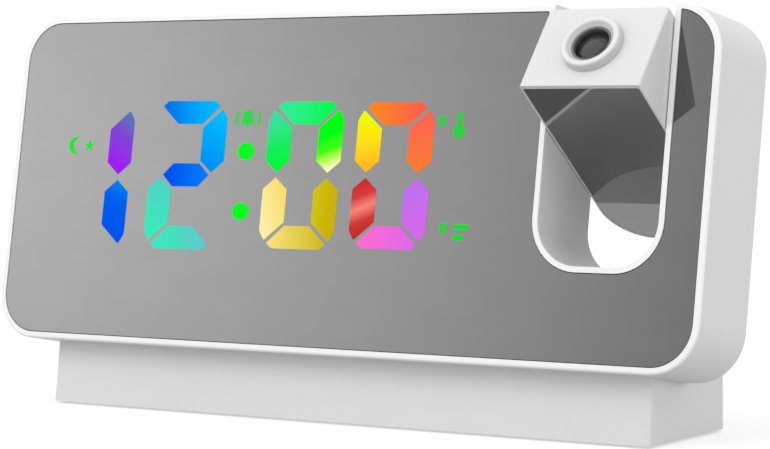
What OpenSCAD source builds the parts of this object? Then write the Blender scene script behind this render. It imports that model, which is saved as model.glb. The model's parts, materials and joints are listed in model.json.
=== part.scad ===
// Mirror-front projection alarm clock: a leaning housing on a low base, with a
// projector arm that tips fore and aft in a U-shaped slot at the right end.
// The origin is the middle of the face that the clock stands on. +Z is up, the
// mirror faces -Y, and the slot is towards +X.

/* [Housing] */
// Width of the housing
body_w = 189; // [175:1:215]
// Height of the housing along its lean
body_h = 77.75; // [76:0.25:90]
// Depth from the front rim to the rear cover
body_d = 21.75; // [21:0.25:26]
// Radius of the four outer corners
body_r = 11; // [8:0.5:14]
// Rounding of the front rim
rim_round = 0.6; // [0.3:0.1:0.8]
// Rounding of the rear edge
rear_round = 0.8; // [0.3:0.1:1]
// How far the housing leans back, in degrees
lean = 10; // [4:1:14]
// Height of the lower front edge above the base's underside
body_lift = 15.5; // [14:0.5:22]
// How far the lower front edge stands out before the base
overhang = 5.2; // [2:0.2:8]
// Width of the front rim round the mirror
rim = 1.5; // [1.2:0.1:2.5]
// Thickness of the housing's walls
wall = 2; // [1.6:0.1:2.4]
// Thickness of the wall behind the mirror
front_wall = 1.5; // [1.2:0.1:2]

/* [Mirror] */
// Thickness of the mirror panel
mirror_t = 2; // [1.5:0.1:2.4]
// Depth of the mirror's face below the rim
mirror_sink = 0.2; // [0.1:0.05:0.4]
// Gap between the mirror's edge and the rim
mirror_gap = 0.2; // [0.1:0.05:0.25]
// Corner radius of the mirror where the slot opens
mirror_notch_r = 0.5; // [0.3:0.1:2]

/* [Slot] */
// Distance from the slot's middle to the housing's end
slot_end = 25.75; // [24.5:0.25:28]
// Clear width of the slot
slot_w = 29; // [27:0.5:30]
// Height of the slot's floor above the housing's underside
slot_floor = 21.8; // [21:0.2:24]
// Radius of the slot's lower corners
slot_r = 10; // [7:0.5:12]
// Thickness of the wall round the slot
slot_wall = 1.25; // [1:0.05:1.6]

/* [Projector arm] */
// Gap between the arm and each side of the slot
arm_gap = 0.3; // [0.3:0.05:0.5]
// Thickness of the arm from its mirror to its back
arm_t = 20.6; // [19.6:0.2:20.8]
// Depth of the tilt axis below the housing's top
pivot_drop = 21; // [19:0.5:22]
// Distance from the tilt axis to the lens face
arm_head = 21; // [19:0.2:21]
// Gap that the arm's tail keeps to the slot's floor as it swings
swing_gap = 0.8; // [0.6:0.1:1.5]
// Radius of the arm's lower corners
arm_r = 10; // [7:0.5:11]
// Rounding of the corners beside the lens face
arm_edge = 0.5; // [0.3:0.1:0.8]
// How far the arm is tipped forward, in degrees
arm_tip = 61; // [-90:1:90]
// Thickness of the arm's side walls
arm_wall = 1.6; // [1.4:0.1:1.8]
// Thickness of the lens face
lens_wall = 2; // [1.6:0.1:2.4]
// Thickness of the wall behind the arm's mirror
arm_front_wall = 1.2; // [1:0.1:1.5]
// Thickness of the arm's back cover
arm_back_t = 1.6; // [1.4:0.1:2]
// Thickness of the arm's mirror
arm_mirror_t = 1.2; // [1:0.1:1.4]
// Width of the rim round the arm's mirror
arm_rim = 0.4; // [0.3:0.1:1]
// Width of the lip between the arm's mirror and the lens face
arm_lip = 1; // [0.7:0.1:1.5]

/* [Arm pivot] */
// Radius of the pivot pins
pin_r = 3; // [2.6:0.1:3.2]
// Radius of the wire passage in the hollow pin
pin_bore_r = 1.8; // [1.4:0.1:2]
// Running clearance of the pins in the arm
pin_fit = 0.06; // [0.02:0.01:0.1]
// Radius of the bosses round the pins
boss_r = 5; // [4.6:0.1:5.2]
// Length of the boss inside each side of the arm
arm_boss = 2; // [1.5:0.1:2.4]
// Length of the boss on the outside of each slot wall
slot_boss = 3; // [2:0.1:3.4]
// Thickness of a pin's flange
pin_flange_t = 1.2; // [0.8:0.1:1.4]
// Radius of a pin's flange
pin_flange_r = 4.4; // [3.8:0.1:4.8]
// Thickness of the friction washers
washer_t = 0.55; // [0.4:0.05:0.6]

/* [Focus] */
// Outer radius of the focus ring
ring_r = 6.7; // [6.3:0.1:7]
// Radius of the ring's bore
ring_bore = 4.5; // [4.2:0.1:4.7]
// Height of the ring above the lens face
ring_proud = 2.2; // [1.8:0.1:3]
// Rounding of the ring's outer edge
ring_round = 0.7; // [0.3:0.1:0.9]
// Width and depth of the bevel round the ring's bore
ring_bevel = 1; // [0.5:0.1:1.2]
// Radius of the ring's neck in the lens face
neck_r = 5.8; // [5.6:0.1:6]
// Running clearance of the neck and of the lens cell
focus_fit = 0.08; // [0.03:0.01:0.1]
// Thickness of the clip that holds the ring
clip_t = 0.9; // [0.7:0.1:1.2]
// Length of the lens cell
cell_len = 10; // [9:0.5:11]
// Depth of the lens cell below the ring's top
cell_sink = 1.1; // [1:0.1:1.6]
// Wall of the lens cell
cell_wall = 0.4; // [0.3:0.1:1]
// Depth of the lens's seat below the top of the cell
lens_sink = 2.9; // [2.6:0.1:3.6]
// Furthest that the lens cell moves each way
focus_travel = 0.75; // [0.5:0.05:0.9]

/* [Display] */
// How far the display lies towards the slot from the middle of its space
display_shift = -1.25; // [-2:0.05:1]
// Height of the display's middle above the housing's middle
display_rise = 0.6; // [-1:0.2:2]
// Width of the display frame
frame_w = 122; // [118:1:124]
// Height of the display frame
frame_h = 44; // [42:1:45]
// Depth of the display frame
frame_d = 5.8; // [5:0.1:6]
// Middles of the four digits, from the display's middle
digit_xs = [-47.1, -20.4, 12.6, 36.9];
// Width of a digit
digit_w = 20.7; // [19:0.1:21.5]
// Height of a digit
digit_h = 34; // [30:0.5:35]
// Width of an upright segment
seg_v = 6.5; // [5:0.1:7]
// Height of a level segment
seg_h = 5.4; // [4.5:0.1:6]
// Gap between segments
seg_gap = 0.9; // [0.6:0.1:1.2]
// Cut across a digit's outer corners
seg_cut = 2; // [1:0.1:2.5]
// Middle of the colon, from the display's middle
colon_x = -3.5; // [-4:0.1:-3]
// Height of each colon dot above or below the digits' middle
colon_rise = 6.9; // [5:0.1:9]
// Radius of a colon dot
colon_r = 2.1; // [1.5:0.1:2.4]
// Thickness of the segment diffusers
diffuser_t = 1; // [0.6:0.1:1.5]

/* [Boards] */
// Thickness of the circuit boards
board_t = 1.2; // [1:0.1:1.6]
// Gap between the display board and the main board
board_gap = 2.6; // [2.4:0.1:3]
// Space left at each end of the boards
board_end_gap = 4.75; // [4:0.25:7]
// Space left between the boards and the posts above and below
board_post_gap = 2; // [1.5:0.1:3]
// Height of a push switch above the main board
switch_h = 3.5; // [3:0.1:3.6]
// Side of a push switch
switch_side = 6; // [5.6:0.1:6.2]
// Radius of the well in a push switch
switch_well = 1.8; // [1.7:0.1:2]

/* [Rear cover] */
// Thickness of the rear cover
cover_t = 2; // [1.8:0.1:2.2]
// Gap round the rear cover
cover_gap = 0.15; // [0.1:0.05:0.3]
// Radius of the posts that take the cover's screws
post_r = 3; // [2.6:0.1:3.2]
// Radius of the screws' shanks
screw_r = 1; // [0.8:0.05:1.1]
// Radius of the screws' heads
head_r = 1.9; // [1.7:0.05:2]
// Thickness of the screws' heads
head_t = 1.1; // [0.9:0.1:1.2]
// Clearance round a screw
screw_fit = 0.05; // [0.03:0.01:0.1]

/* [Buttons] */
// Spacing of the rear buttons
button_pitch = 14; // [13:0.5:14.5]
// Distance from the first rear button's middle to the housing's end
button_end = 15.5; // [14.5:0.5:17]
// Depth of the rear buttons below the housing's top
button_drop = 21; // [20:0.5:22]
// Length of a rear button
button_w = 9; // [8:0.5:10]
// Height of a rear button
button_h = 5; // [4.5:0.5:6]
// How far a rear button stands out
button_proud = 0.8; // [0.7:0.1:1.2]
// Travel of every button
button_travel = 0.7; // [0.5:0.05:0.8]
// Gap round every button
button_gap = 0.3; // [0.25:0.05:0.4]
// Thickness and reach of the flange that holds a button in
flange = 0.9; // [0.8:0.1:1]
// Length of the snooze button
snooze_w = 62; // [50:1:70]
// Depth of the snooze button
snooze_d = 9; // [8:0.5:10]
// How far the snooze button stands above the housing
snooze_proud = 0.9; // [0.8:0.1:1.2]
// Middle of the snooze button, from the display's middle
snooze_shift = 1; // [-3:1:5]
// Depth of the snooze button's middle behind the front rim
snooze_back = 12; // [11.5:0.5:12.5]

/* [Battery and sounder] */
// Middle of the coin cell, from the display's middle
cell_shift = 35; // [29:1:37]
// Depth of the coin cell's middle below the display's middle
cell_drop = 3.6; // [2.6:0.2:5]
// Radius of the coin cell
coin_r = 10; // [9.8:0.1:10.1]
// Thickness of the coin cell
coin_t = 3.2; // [3:0.1:3.4]
// Wall of the coin cell's holder
holder_wall = 1.3; // [1:0.1:1.5]
// Side of the battery door
door_side = 27; // [25:0.5:29]
// Thickness of the battery door
door_t = 1.1; // [0.9:0.1:1.2]
// Middle of the sounder, from the display's middle
sounder_shift = -29; // [-33:1:-25]
// Radius of the sounder
sounder_r = 6; // [5:0.5:7]
// Height of the sounder
sounder_h = 4.6; // [4:0.1:4.8]
// Radius of a grille hole
grille_r = 0.8; // [0.6:0.1:1]

/* [Sockets] */
// Distance from the slot's middle to the charging outlet's
usb_shift = 8.75; // [7.75:0.25:9.25]
// Distance from the slot's middle to the power inlet's
inlet_shift = 7.25; // [6.25:0.25:7.75]
// Height of both sockets' middle in the housing
socket_z = 11; // [10.6:0.2:11.6]
// Width of the charging outlet's shell
usb_w = 13.1; // [13:0.05:13.3]
// Height of the charging outlet's shell
usb_h = 5.7; // [5.6:0.05:5.9]
// Thickness of the charging outlet's shell
usb_skin = 0.3; // [0.25:0.05:0.4]
// Side of the power inlet's block
inlet_side = 9; // [8.6:0.2:9.6]
// Radius of the power inlet's hole
inlet_r = 2.75; // [2.7:0.05:2.9]
// Radius of the power inlet's pin
inlet_pin_r = 1; // [0.8:0.05:1.1]

/* [Base] */
// Width of the base
base_w = 162; // [150:1:172]
// Depth of the base
base_d = 34; // [34:0.5:44]
// How far the base's front face leans back, in degrees
base_lean = 7.5; // [0:0.5:10]
// Height of the base behind the housing, above its underside
base_back_h = 13.2; // [13:0.2:18]
// Thickness of the base's walls
base_wall = 2; // [1.6:0.1:2.4]
// Rounding of the base's upright edges
base_round = 0.8; // [0.4:0.1:1.5]
// Thickness of the base's bottom plate
plate_t = 2; // [1.8:0.1:2.4]
// Gap round the bottom plate
plate_gap = 0.15; // [0.1:0.05:0.3]
// Width of the rubber foot
foot_w = 130; // [100:1:134]
// Depth of the rubber foot
foot_d = 24; // [16:1:26]
// Corner radius of the rubber foot
foot_r = 4; // [2:0.5:6]
// How far the rubber foot stands below the base
foot_proud = 0.5; // [0.4:0.1:1]
// Depth to which the rubber foot is let into the plate
foot_seat = 0.7; // [0.5:0.1:0.9]

/* [Hidden] */
$fn = 64;
small = 0.01;
past = 1;

// The housing's own frame: x across, y from the front rim back, z up the lean.
body_y = -(base_d / 2 + overhang);
body_z = foot_proud + body_lift;
mirror_back = mirror_sink + mirror_t;
cavity_front = mirror_back + front_wall;
cover_in = body_d - cover_t;
pivot_d = body_d / 2;
mirror_w = body_w - 2 * rim;
mirror_r = body_r - rim;
end_in = body_w / 2 - wall;
top_in = body_h - wall;
slot_x = body_w / 2 - slot_end;
pivot_h = body_h - pivot_drop;
slot_side = slot_x - slot_w / 2 - slot_wall;

// The arm's own frame: the tilt axis is x, the arm runs along z, its mirror faces -y.
arm_w = slot_w - 2 * arm_gap;
swing_r = pivot_h - slot_floor - swing_gap;
arm_tail = sqrt(pow(swing_r, 2) - pow(arm_t / 2, 2));
arm_front = -arm_t / 2;
arm_in_front = arm_front + arm_mirror_t + arm_front_wall;
arm_in_back = arm_t / 2 - arm_back_t;
arm_in_x = arm_w / 2 - arm_wall;
arm_boss_x = arm_in_x - arm_boss;
slot_boss_x = slot_w / 2 + slot_wall + slot_boss;

// Posts for the rear cover, as places across and up the housing.
post_end_gap = 6.5;
post_slot_gap = 7;
post_end = end_in - post_end_gap;
post_column = (slot_x + slot_w / 2 + slot_wall + end_in) / 2;
post_column_r = 2.6;
post_low = 8;
post_high = body_h - post_low;
post_mid = slot_side - post_slot_gap;
post_depth = 9;

// The stack of boards behind the display frame.
frame_back = mirror_back + frame_d;
display_back = frame_back + board_t;
main_front = display_back + board_gap;
main_back = main_front + board_t;
display_x = (slot_side - end_in) / 2 + display_shift;
display_z = body_h / 2 + display_rise;
board_w = slot_side + end_in - 2 * board_end_gap;
board_h = body_h - 2 * (post_low + post_r + board_post_gap);
board_corner = 4;
board_screw_x = board_w / 2 - board_corner;
board_screw_z = board_h / 2 - board_corner;
frame_gap = 0.2;
spacer_r = 2.4;

// Screws that hold the housing on the base.
mount_end = 14;
mount_inner = 26;
mount_d = 12;
mount_boss_r = 2.7;
mount_boss_h = 3.3;
mount_boss_top = wall + mount_boss_h;

// Behind the main board and in the sockets' corner.
cell_x = display_x + cell_shift;
cell_z = display_z - cell_drop;
sounder_x = display_x + sounder_shift;
usb_x = slot_x - usb_shift;
inlet_x = slot_x + inlet_shift;

// The projector inside the arm.
tunnel_x = 8;
tunnel_y = 6.6;
tunnel_wall = 1.1;
tunnel_top = 5;
tunnel_bottom = -14;
guide_drop = 4;
guide_top = arm_head - lens_wall - guide_drop;
guide_x = 7.4;
guide_bore = ring_bore + 0.3;
lamp_t = 1.2;
sink_base = 2;
fin_t = 0.9;
fin_len = 7;
wire_r = 0.7;
wire_x = (tunnel_x + arm_boss_x) / 2;
wire_bend = 2;
washer_r = boss_r + 0.5;
washer_spare = 0.15;
washer_seat = washer_t - arm_gap + washer_spare;
ring_lift = 0.1;
cell_r = ring_bore - focus_fit;
cell_top = arm_head + ring_proud - cell_sink;
key_w = 2.4;
key_t = 1.5;
key_reach = 6;
key_gap = 0.15;

// Buttons and switches.
button_x = -body_w / 2 + button_end;
button_z = body_h - button_drop;
cap_flange_back = cover_in - 0.1;
cap_stem_r = switch_well - 0.3;
switch_face = main_back + switch_h;
stem_in = 0.8;
stem_tip = switch_face - stem_in;
well_spare = 0.4;
snooze_well = stem_in + button_travel + well_spare;
snooze_x = display_x + snooze_shift;
snooze_stem_n = main_back + switch_side / 2 - 1;
snooze_switch_rise = 2;
snooze_switch_top = display_z + board_h / 2 + snooze_switch_rise;
snooze_flange_top = top_in - 0.1;

// ---------- frames and helpers ----------

module in_body() {
    translate([0, body_y, body_z]) rotate([-lean, 0, 0]) children();
}

module in_arm() {
    in_body() translate([slot_x, pivot_d, pivot_h]) rotate([arm_tip, 0, 0]) children();
}

// A flat shape drawn as width and height, filled from depth a to depth b.
module sheet(a, b) {
    translate([0, b, 0]) rotate([90, 0, 0]) linear_extrude(b - a) children();
}

// A round peg or hole along the depth.
module peg(x, z, a, b, r) {
    translate([x, a, z]) rotate([-90, 0, 0]) cylinder(h = b - a, r = r);
}

// A round bar along the width.
module bar(a, b, r) {
    translate([a, 0, 0]) rotate([0, 90, 0]) cylinder(h = b - a, r = r);
}

module block(x, z, w, h, a, b) {
    translate([x - w / 2, a, z - h / 2]) cube([w, b - a, h]);
}

// Rounded rectangle, centred.
module round_rect(w, h, r) {
    square([w - 2 * r, h], center = true);
    square([w, h - 2 * r], center = true);
    for (sx = [-1, 1], sz = [-1, 1])
        translate([sx * (w / 2 - r), sz * (h / 2 - r)]) circle(r);
}

// Outline of the housing, drawn in from its outer edge.
module body_outline(inset) {
    translate([0, body_h / 2])
        round_rect(body_w - 2 * inset, body_h - 2 * inset, max(body_r - inset, 1));
}

// The slot's outline, open at the top and grown outwards.
module slot_outline(grow) {
    half = slot_w / 2 + grow;
    low = slot_floor - grow;
    r = slot_r + grow;
    translate([slot_x - half, low + r]) square([2 * half, body_h - low]);
    translate([slot_x - half + r, low]) square([2 * (half - r), r + small]);
    for (side = [-1, 1])
        translate([slot_x + side * (half - r), low + r]) circle(r);
}

// The arm's outline: nearly square at the lens end and round at the tail.
module arm_outline(inset, top_inset) {
    half = arm_w / 2 - inset;
    low = -arm_tail + inset;
    top = arm_head - top_inset;
    r = arm_r - inset;
    translate([-half, low + r]) square([2 * half, top - arm_edge - low - r]);
    translate([-half + arm_edge, top - arm_edge - small])
        square([2 * (half - arm_edge), arm_edge + small]);
    for (side = [-1, 1])
        translate([side * (half - arm_edge), top - arm_edge]) circle(arm_edge);
    translate([-half + r, low]) square([2 * (half - r), r + small]);
    for (side = [-1, 1])
        translate([side * (half - r), low + r]) circle(r);
}

// ---------- housing ----------

// Section of the housing's edge, from a corner's centre out.
module edge_section() {
    square([body_r - rear_round, body_d]);
    square([body_r - rim_round, body_d - rear_round]);
    translate([0, rim_round]) square([body_r, body_d - rim_round - rear_round]);
    intersection() {
        translate([body_r - rim_round, rim_round]) circle(rim_round);
        square([body_r, rim_round]);
    }
    intersection() {
        translate([body_r - rear_round, body_d - rear_round]) circle(rear_round);
        translate([0, body_d - rear_round]) square([body_r, rear_round]);
    }
}

// The housing's outer block with its edges rounded.
module body_block() {
    half_w = body_w / 2 - body_r;
    long_h = body_h - 2 * body_r;
    translate([-half_w, 0, body_r]) cube([2 * half_w, body_d, long_h]);
    for (side = [0, 1]) {
        mirror([side, 0, 0])
            translate([half_w, 0, body_r]) linear_extrude(long_h) edge_section();
        translate([0, 0, side * body_h]) mirror([0, 0, side])
            translate([half_w, 0, body_r]) rotate([0, 0, 180]) rotate([0, 90, 0])
                mirror([0, 1, 0]) linear_extrude(2 * half_w) edge_section();
        for (top = [0, 1])
            translate([0, 0, top * body_h]) mirror([0, 0, top]) mirror([side, 0, 0])
                translate([half_w, 0, body_r]) rotate([-90, 0, 0])
                    rotate_extrude(angle = 90) edge_section();
    }
}

module mirror_outline(gap) {
    difference() {
        translate([0, body_h / 2])
            round_rect(mirror_w - 2 * gap, body_h - 2 * rim - 2 * gap, mirror_r - gap);
        slot_outline(slot_wall + gap);
        for (side = [-1, 1])
            translate([slot_x + side * (slot_w / 2 + slot_wall + gap), body_h - rim - gap])
                mirror([side > 0 ? 0 : 1, 0]) notch_corner();
    }
}

// What comes off a square corner to round it.
module notch_corner() {
    difference() {
        translate([-small, -mirror_notch_r]) square([mirror_notch_r + small, mirror_notch_r + small]);
        translate([mirror_notch_r, -mirror_notch_r]) circle(mirror_notch_r);
    }
}

module cover_posts() {
    for (z = [post_low, post_high]) {
        for (x = [-post_end, 0, post_mid])
            peg(x, z, cavity_front - small, cover_in, post_r);
        peg(post_column, z, cavity_front - small, cover_in, post_column_r);
    }
}

module at_cover_screws() {
    for (z = [post_low, post_high], x = [-post_end, 0, post_mid, post_column])
        translate([x, 0, z]) children();
}

module at_board_screws() {
    for (sx = [-1, 1], sz = [-1, 1])
        translate([display_x + sx * board_screw_x, 0, display_z + sz * board_screw_z]) children();
}

module at_mount_screws() {
    for (side = [-1, 1], x = [mount_inner, base_w / 2 - mount_end])
        translate([side * x, mount_d, 0]) children();
}

socket_post = 1.7;
socket_post_r = 2;
socket_post_hole = 0.8;
socket_board_front = cavity_front + socket_post;
socket_screw_rise = 6;
socket_screw_z = socket_z + socket_screw_rise;
socket_screw_out = [-14.75, 13.45];
socket_board = [34, 15];
socket_board_shift = 0.75;
socket_board_rise = 0.7;
socket_board_x = slot_x - socket_board_shift;
socket_board_z = socket_z + socket_board_rise;
spacer_hole = 0.6;
module at_socket_screws() {
    for (out = socket_screw_out)
        translate([slot_x + out, 0, socket_screw_z]) children();
}

module housing_solid() {
    difference() {
        body_block();
        sheet(-past, mirror_back) mirror_outline(0);
        sheet(cavity_front, body_d + past)
            difference() {
                body_outline(wall);
                slot_outline(slot_wall);
            }
    }
    cover_posts();
    at_board_screws() peg(0, 0, cavity_front - small, frame_back, spacer_r);
    at_socket_screws() peg(0, 0, cavity_front - small, socket_board_front, socket_post_r);
    at_mount_screws()
        translate([0, 0, wall - small]) cylinder(h = mount_boss_top - wall, r = mount_boss_r);
    translate([slot_x, pivot_d, pivot_h])
        for (side = [0, 1])
            mirror([side, 0, 0]) bar(slot_w / 2 + small, slot_boss_x, boss_r);
}

module housing() {
    color("white") in_body()
        difference() {
            housing_solid();
            sheet(-past, body_d + past) slot_outline(0);
            block(display_x, display_z, frame_w, frame_h, mirror_back - past, cavity_front + past);
            translate([slot_x, pivot_d, pivot_h]) bar(-slot_boss_x - past, slot_boss_x + past, pin_r);
            at_cover_screws() peg(0, 0, cover_in - post_depth, body_d, screw_r + screw_fit);
            at_board_screws() peg(0, 0, cavity_front + spacer_hole, body_d, screw_r + screw_fit);
            at_socket_screws()
                peg(0, 0, cavity_front - socket_post_hole, body_d, screw_r + screw_fit);
            at_mount_screws() translate([0, 0, -past])
                cylinder(h = mount_boss_top + 2 * past, r = screw_r + screw_fit);
            translate([snooze_x, snooze_back, top_in - past]) linear_extrude(wall + 2 * past)
                round_rect(snooze_w + 2 * button_gap, snooze_d + 2 * button_gap, 2);
        }
}

module mirror_panel() {
    color("dimgray") in_body()
        sheet(mirror_sink, mirror_back) mirror_outline(mirror_gap);
}

module rear_cover() {
    hole = [button_w + 2 * button_gap, button_h + 2 * button_gap];
    color("white") in_body()
        difference() {
            sheet(cover_in, body_d)
                difference() {
                    body_outline(wall + cover_gap);
                    slot_outline(slot_wall + cover_gap);
                }
            at_cover_screws() {
                peg(0, 0, cover_in - past, body_d + past, screw_r + screw_fit);
                peg(0, 0, body_d - head_t, body_d + past, head_r + screw_fit);
            }
            for (i = [0:4])
                sheet(cover_in - past, body_d + past)
                    translate([button_x + i * button_pitch, button_z])
                        round_rect(hole[0], hole[1], hole[1] / 2 - small);
            block(usb_x, socket_z, usb_w + 0.3, usb_h + 0.3, cover_in - past, body_d + past);
            peg(inlet_x, socket_z, cover_in - past, body_d + past, inlet_side / 2 + 0.15);
            grille_holes();
            sensor_slots();
            sheet(body_d - door_t, body_d + past) translate([cell_x, cell_z])
                round_rect(door_side + 0.3, door_side + 0.3, 3);
            peg(cell_x, cell_z, cover_in - past, body_d, coin_r + 0.8);
            peg(cell_x, door_screw_z, cover_in - past, body_d, screw_r + screw_fit);
        }
}

// Holes in front of the sounder: one in the middle and two rings.
module grille_holes() {
    ring_gap = 2.4;
    for (ring = [0:2])
        for (i = [0:max(1, 6 * ring) - 1]) {
            turn = i * 360 / max(1, 6 * ring);
            peg(sounder_x + ring * ring_gap * cos(turn), cell_z + ring * ring_gap * sin(turn),
                cover_in - past, body_d + past, grille_r);
        }
}

sensor_end = 12.5;
sensor_drop = 15.6;
sensor_x = -body_w / 2 + sensor_end;
sensor_z = display_z - sensor_drop;
vent_gap = 2.4;
vent = [1, 7];
module sensor_slots() {
    for (i = [-1:1])
        block(sensor_x + vent_gap * i, sensor_z, vent[0], vent[1], cover_in - past, body_d + past);
}

// A pan-head screw along the depth, its head ending at depth b.
module depth_screw(b, len) {
    peg(0, 0, b - head_t, b, head_r);
    peg(0, 0, b - head_t - len, b - head_t + small, screw_r);
}

module cover_screws() {
    color("silver") in_body() at_cover_screws() depth_screw(body_d, post_depth);
}

// ---------- base ----------

base_front_y = -base_d / 2;
base_top = 60;
seat_back_y = body_y + body_d * cos(lean);

// The base's outer block, before the housing's seat is cut.
module base_block() {
    front_len = 2 * base_d;
    intersection() {
        translate([0, base_front_y, foot_proud]) rotate([-base_lean, 0, 0])
            translate([0, front_len / 2, 0]) linear_extrude(base_top, center = true)
                round_rect(base_w, front_len, base_round);
        translate([0, -front_len / 2 + base_d / 2, foot_proud]) linear_extrude(base_top)
            round_rect(base_w, front_len, base_round);
        base_profile(0);
    }
}

// Height of the housing's underside at depth y, or of a face that lies under it.
function seat_z(y, drop) = body_z - (y - body_y) * tan(lean) - drop / cos(lean);

// The base seen from its end: up to the housing's underside, and low behind it.
module base_profile(inset) {
    top = foot_proud + base_back_h - inset;
    step_y = seat_back_y + inset;
    step_z = seat_z(step_y, inset);
    rotate([90, 0, 90]) linear_extrude(base_w - 2 * inset, center = true)
        polygon([
            [-base_d, -past],
            [-base_d, seat_z(-base_d, inset)],
            [step_y, step_z],
            [step_y + (top - step_z) * tan(lean), top],
            [base_d, top],
            [base_d, -past]
        ]);
}

module base_inside() {
    intersection() {
        translate([-base_w / 2, base_front_y, foot_proud]) rotate([-base_lean, 0, 0])
            translate([0, base_wall, -base_top]) cube([base_w, 2 * base_d, 2 * base_top]);
        translate([-base_w / 2, -base_d, -base_top])
            cube([base_w, 1.5 * base_d - base_wall, 2 * base_top]);
        base_profile(base_wall);
    }
}

plate_screw_x = base_w / 2 - 7;
plate_screw_front = -9.5;
plate_screw_back = 11.5;
plate_screw_len = 6;
plate_top = foot_proud + plate_t;
module at_plate_screws() {
    for (x = [-plate_screw_x, plate_screw_x], y = [plate_screw_front, plate_screw_back])
        translate([x, y, 0]) children();
}

module base_shell() {
    color("white")
        difference() {
            union() {
                difference() {
                    base_block();
                    base_inside();
                }
                intersection() {
                    at_plate_screws() translate([0, 0, plate_top]) cylinder(h = base_top, r = post_r);
                    base_profile(base_wall / 2);
                }
            }
            at_plate_screws() translate([0, 0, plate_top - past])
                cylinder(h = plate_screw_len + past, r = screw_r + screw_fit);
            in_body() at_mount_screws() translate([0, 0, -base_wall - past])
                cylinder(h = base_wall + 2 * past, r = screw_r + 2 * screw_fit);
        }
}

module base_plate() {
    edge = base_wall + plate_gap;
    color("gainsboro")
        difference() {
            translate([-base_w / 2 + edge, base_front_y + edge + plate_t * tan(base_lean), foot_proud])
                cube([base_w - 2 * edge, base_d - 2 * edge - plate_t * tan(base_lean), plate_t]);
            at_plate_screws() {
                translate([0, 0, -past]) cylinder(h = plate_top + 2 * past, r = screw_r + screw_fit);
                cylinder(h = foot_proud + head_t, r = head_r + screw_fit);
            }
            translate([0, 0, -past]) linear_extrude(foot_proud + foot_seat + past)
                round_rect(foot_w + 0.2, foot_d + 0.2, foot_r + 0.1);
        }
}

module base_plate_screws() {
    color("silver") at_plate_screws() {
        translate([0, 0, foot_proud]) cylinder(h = head_t, r = head_r);
        translate([0, 0, foot_proud + head_t - small]) cylinder(h = plate_screw_len, r = screw_r);
    }
}

module base_mount_screws() {
    color("silver") in_body() at_mount_screws() {
        translate([0, 0, -base_wall - head_t]) cylinder(h = head_t, r = head_r);
        translate([0, 0, -base_wall - small])
            cylinder(h = base_wall + mount_boss_top - 0.5, r = screw_r);
    }
}

module rubber_foot() {
    color("dimgray") linear_extrude(foot_proud + foot_seat) round_rect(foot_w, foot_d, foot_r);
}

// ---------- display ----------

// Level segment at a digit's top.
module level_segment() {
    half = digit_w / 2;
    top = digit_h / 2;
    inner = half - seg_v - seg_gap;
    polygon([
        [-half + seg_cut, top - seg_cut / 2],
        [-half + 2 * seg_cut, top],
        [half - 2 * seg_cut, top],
        [half - seg_cut, top - seg_cut / 2],
        [inner, top - seg_h],
        [-inner, top - seg_h]
    ]);
}

// Upright segment at a digit's upper right.
module upright_segment() {
    half = digit_w / 2;
    top = digit_h / 2;
    foot = seg_gap + seg_v / 2 - 0.7;
    polygon([
        [half - seg_cut, top - seg_cut],
        [half, top - 2 * seg_cut],
        [half, foot],
        [half - seg_v / 2, seg_gap],
        [half - seg_v, foot],
        [half - seg_v, top - seg_h - seg_gap]
    ]);
}

module middle_segment() {
    tip = digit_w / 2 - seg_v / 2 - seg_gap;
    inner = digit_w / 2 - seg_v - seg_gap;
    polygon([
        [-tip, 0], [-inner, seg_h / 2], [inner, seg_h / 2],
        [tip, 0], [inner, -seg_h / 2], [-inner, -seg_h / 2]
    ]);
}

module digit() {
    middle_segment();
    for (down = [0, 1])
        mirror([0, down]) {
            level_segment();
            for (left = [0, 1])
                mirror([left, 0]) upright_segment();
        }
}

// Small round windows for the indicator lights, from the display's middle.
indicator_r = 2;
indicators = [[-53, 6.9], [-4, 13.4], [52, 12.2], [54.5, -11.4]];

module display_windows() {
    translate([display_x, display_z]) {
        for (x = digit_xs)
            translate([x, 0]) digit();
        for (side = [-1, 1])
            translate([colon_x, side * colon_rise]) circle(colon_r);
        for (spot = indicators)
            translate(spot) circle(indicator_r);
    }
}

module display_frame() {
    color("whitesmoke") in_body()
        difference() {
            block(display_x, display_z, frame_w - 2 * frame_gap, frame_h - 2 * frame_gap,
                  mirror_back, frame_back);
            sheet(mirror_back - past, frame_back + past) display_windows();
        }
}

module segment_diffusers() {
    color("deepskyblue") in_body()
        sheet(mirror_back, mirror_back + diffuser_t) display_windows();
}

module board_outline() {
    translate([display_x, display_z]) round_rect(board_w, board_h, 1.5);
}

module display_board() {
    color("darkgreen") in_body()
        difference() {
            sheet(frame_back, display_back) board_outline();
            at_board_screws() peg(0, 0, frame_back - past, display_back + past, screw_r + screw_fit);
        }
}

led = [3.2, 2];
led_t = 0.9;
module display_leds() {
    mid = digit_w / 2 - seg_v / 2;
    level = digit_h / 2 - seg_h / 2;
    half = digit_h / 4 - 0.5;
    color("lemonchiffon") in_body() translate([display_x, 0, display_z]) {
        for (x = digit_xs) {
            for (z = [-level, 0, level])
                block(x, z, led[0], led[1], frame_back - led_t, frame_back);
            for (sx = [-1, 1], sz = [-1, 1])
                block(x + sx * mid, sz * half, led[1], led[0], frame_back - led_t, frame_back);
        }
        for (side = [-1, 1])
            block(colon_x, side * colon_rise, led[1], led[1], frame_back - led_t, frame_back);
        for (spot = indicators)
            block(spot[0], spot[1], led[1], led[1], frame_back - led_t, frame_back);
    }
}

// ---------- boards ----------

module main_board() {
    color("darkgreen") in_body()
        difference() {
            sheet(main_front, main_back) board_outline();
            at_board_screws() peg(0, 0, main_front - past, main_back + past, screw_r + screw_fit);
        }
}

module board_spacers() {
    color("ivory") in_body() at_board_screws()
        difference() {
            peg(0, 0, display_back, main_front, spacer_r);
            peg(0, 0, display_back - past, main_front + past, screw_r + screw_fit);
        }
}

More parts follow.
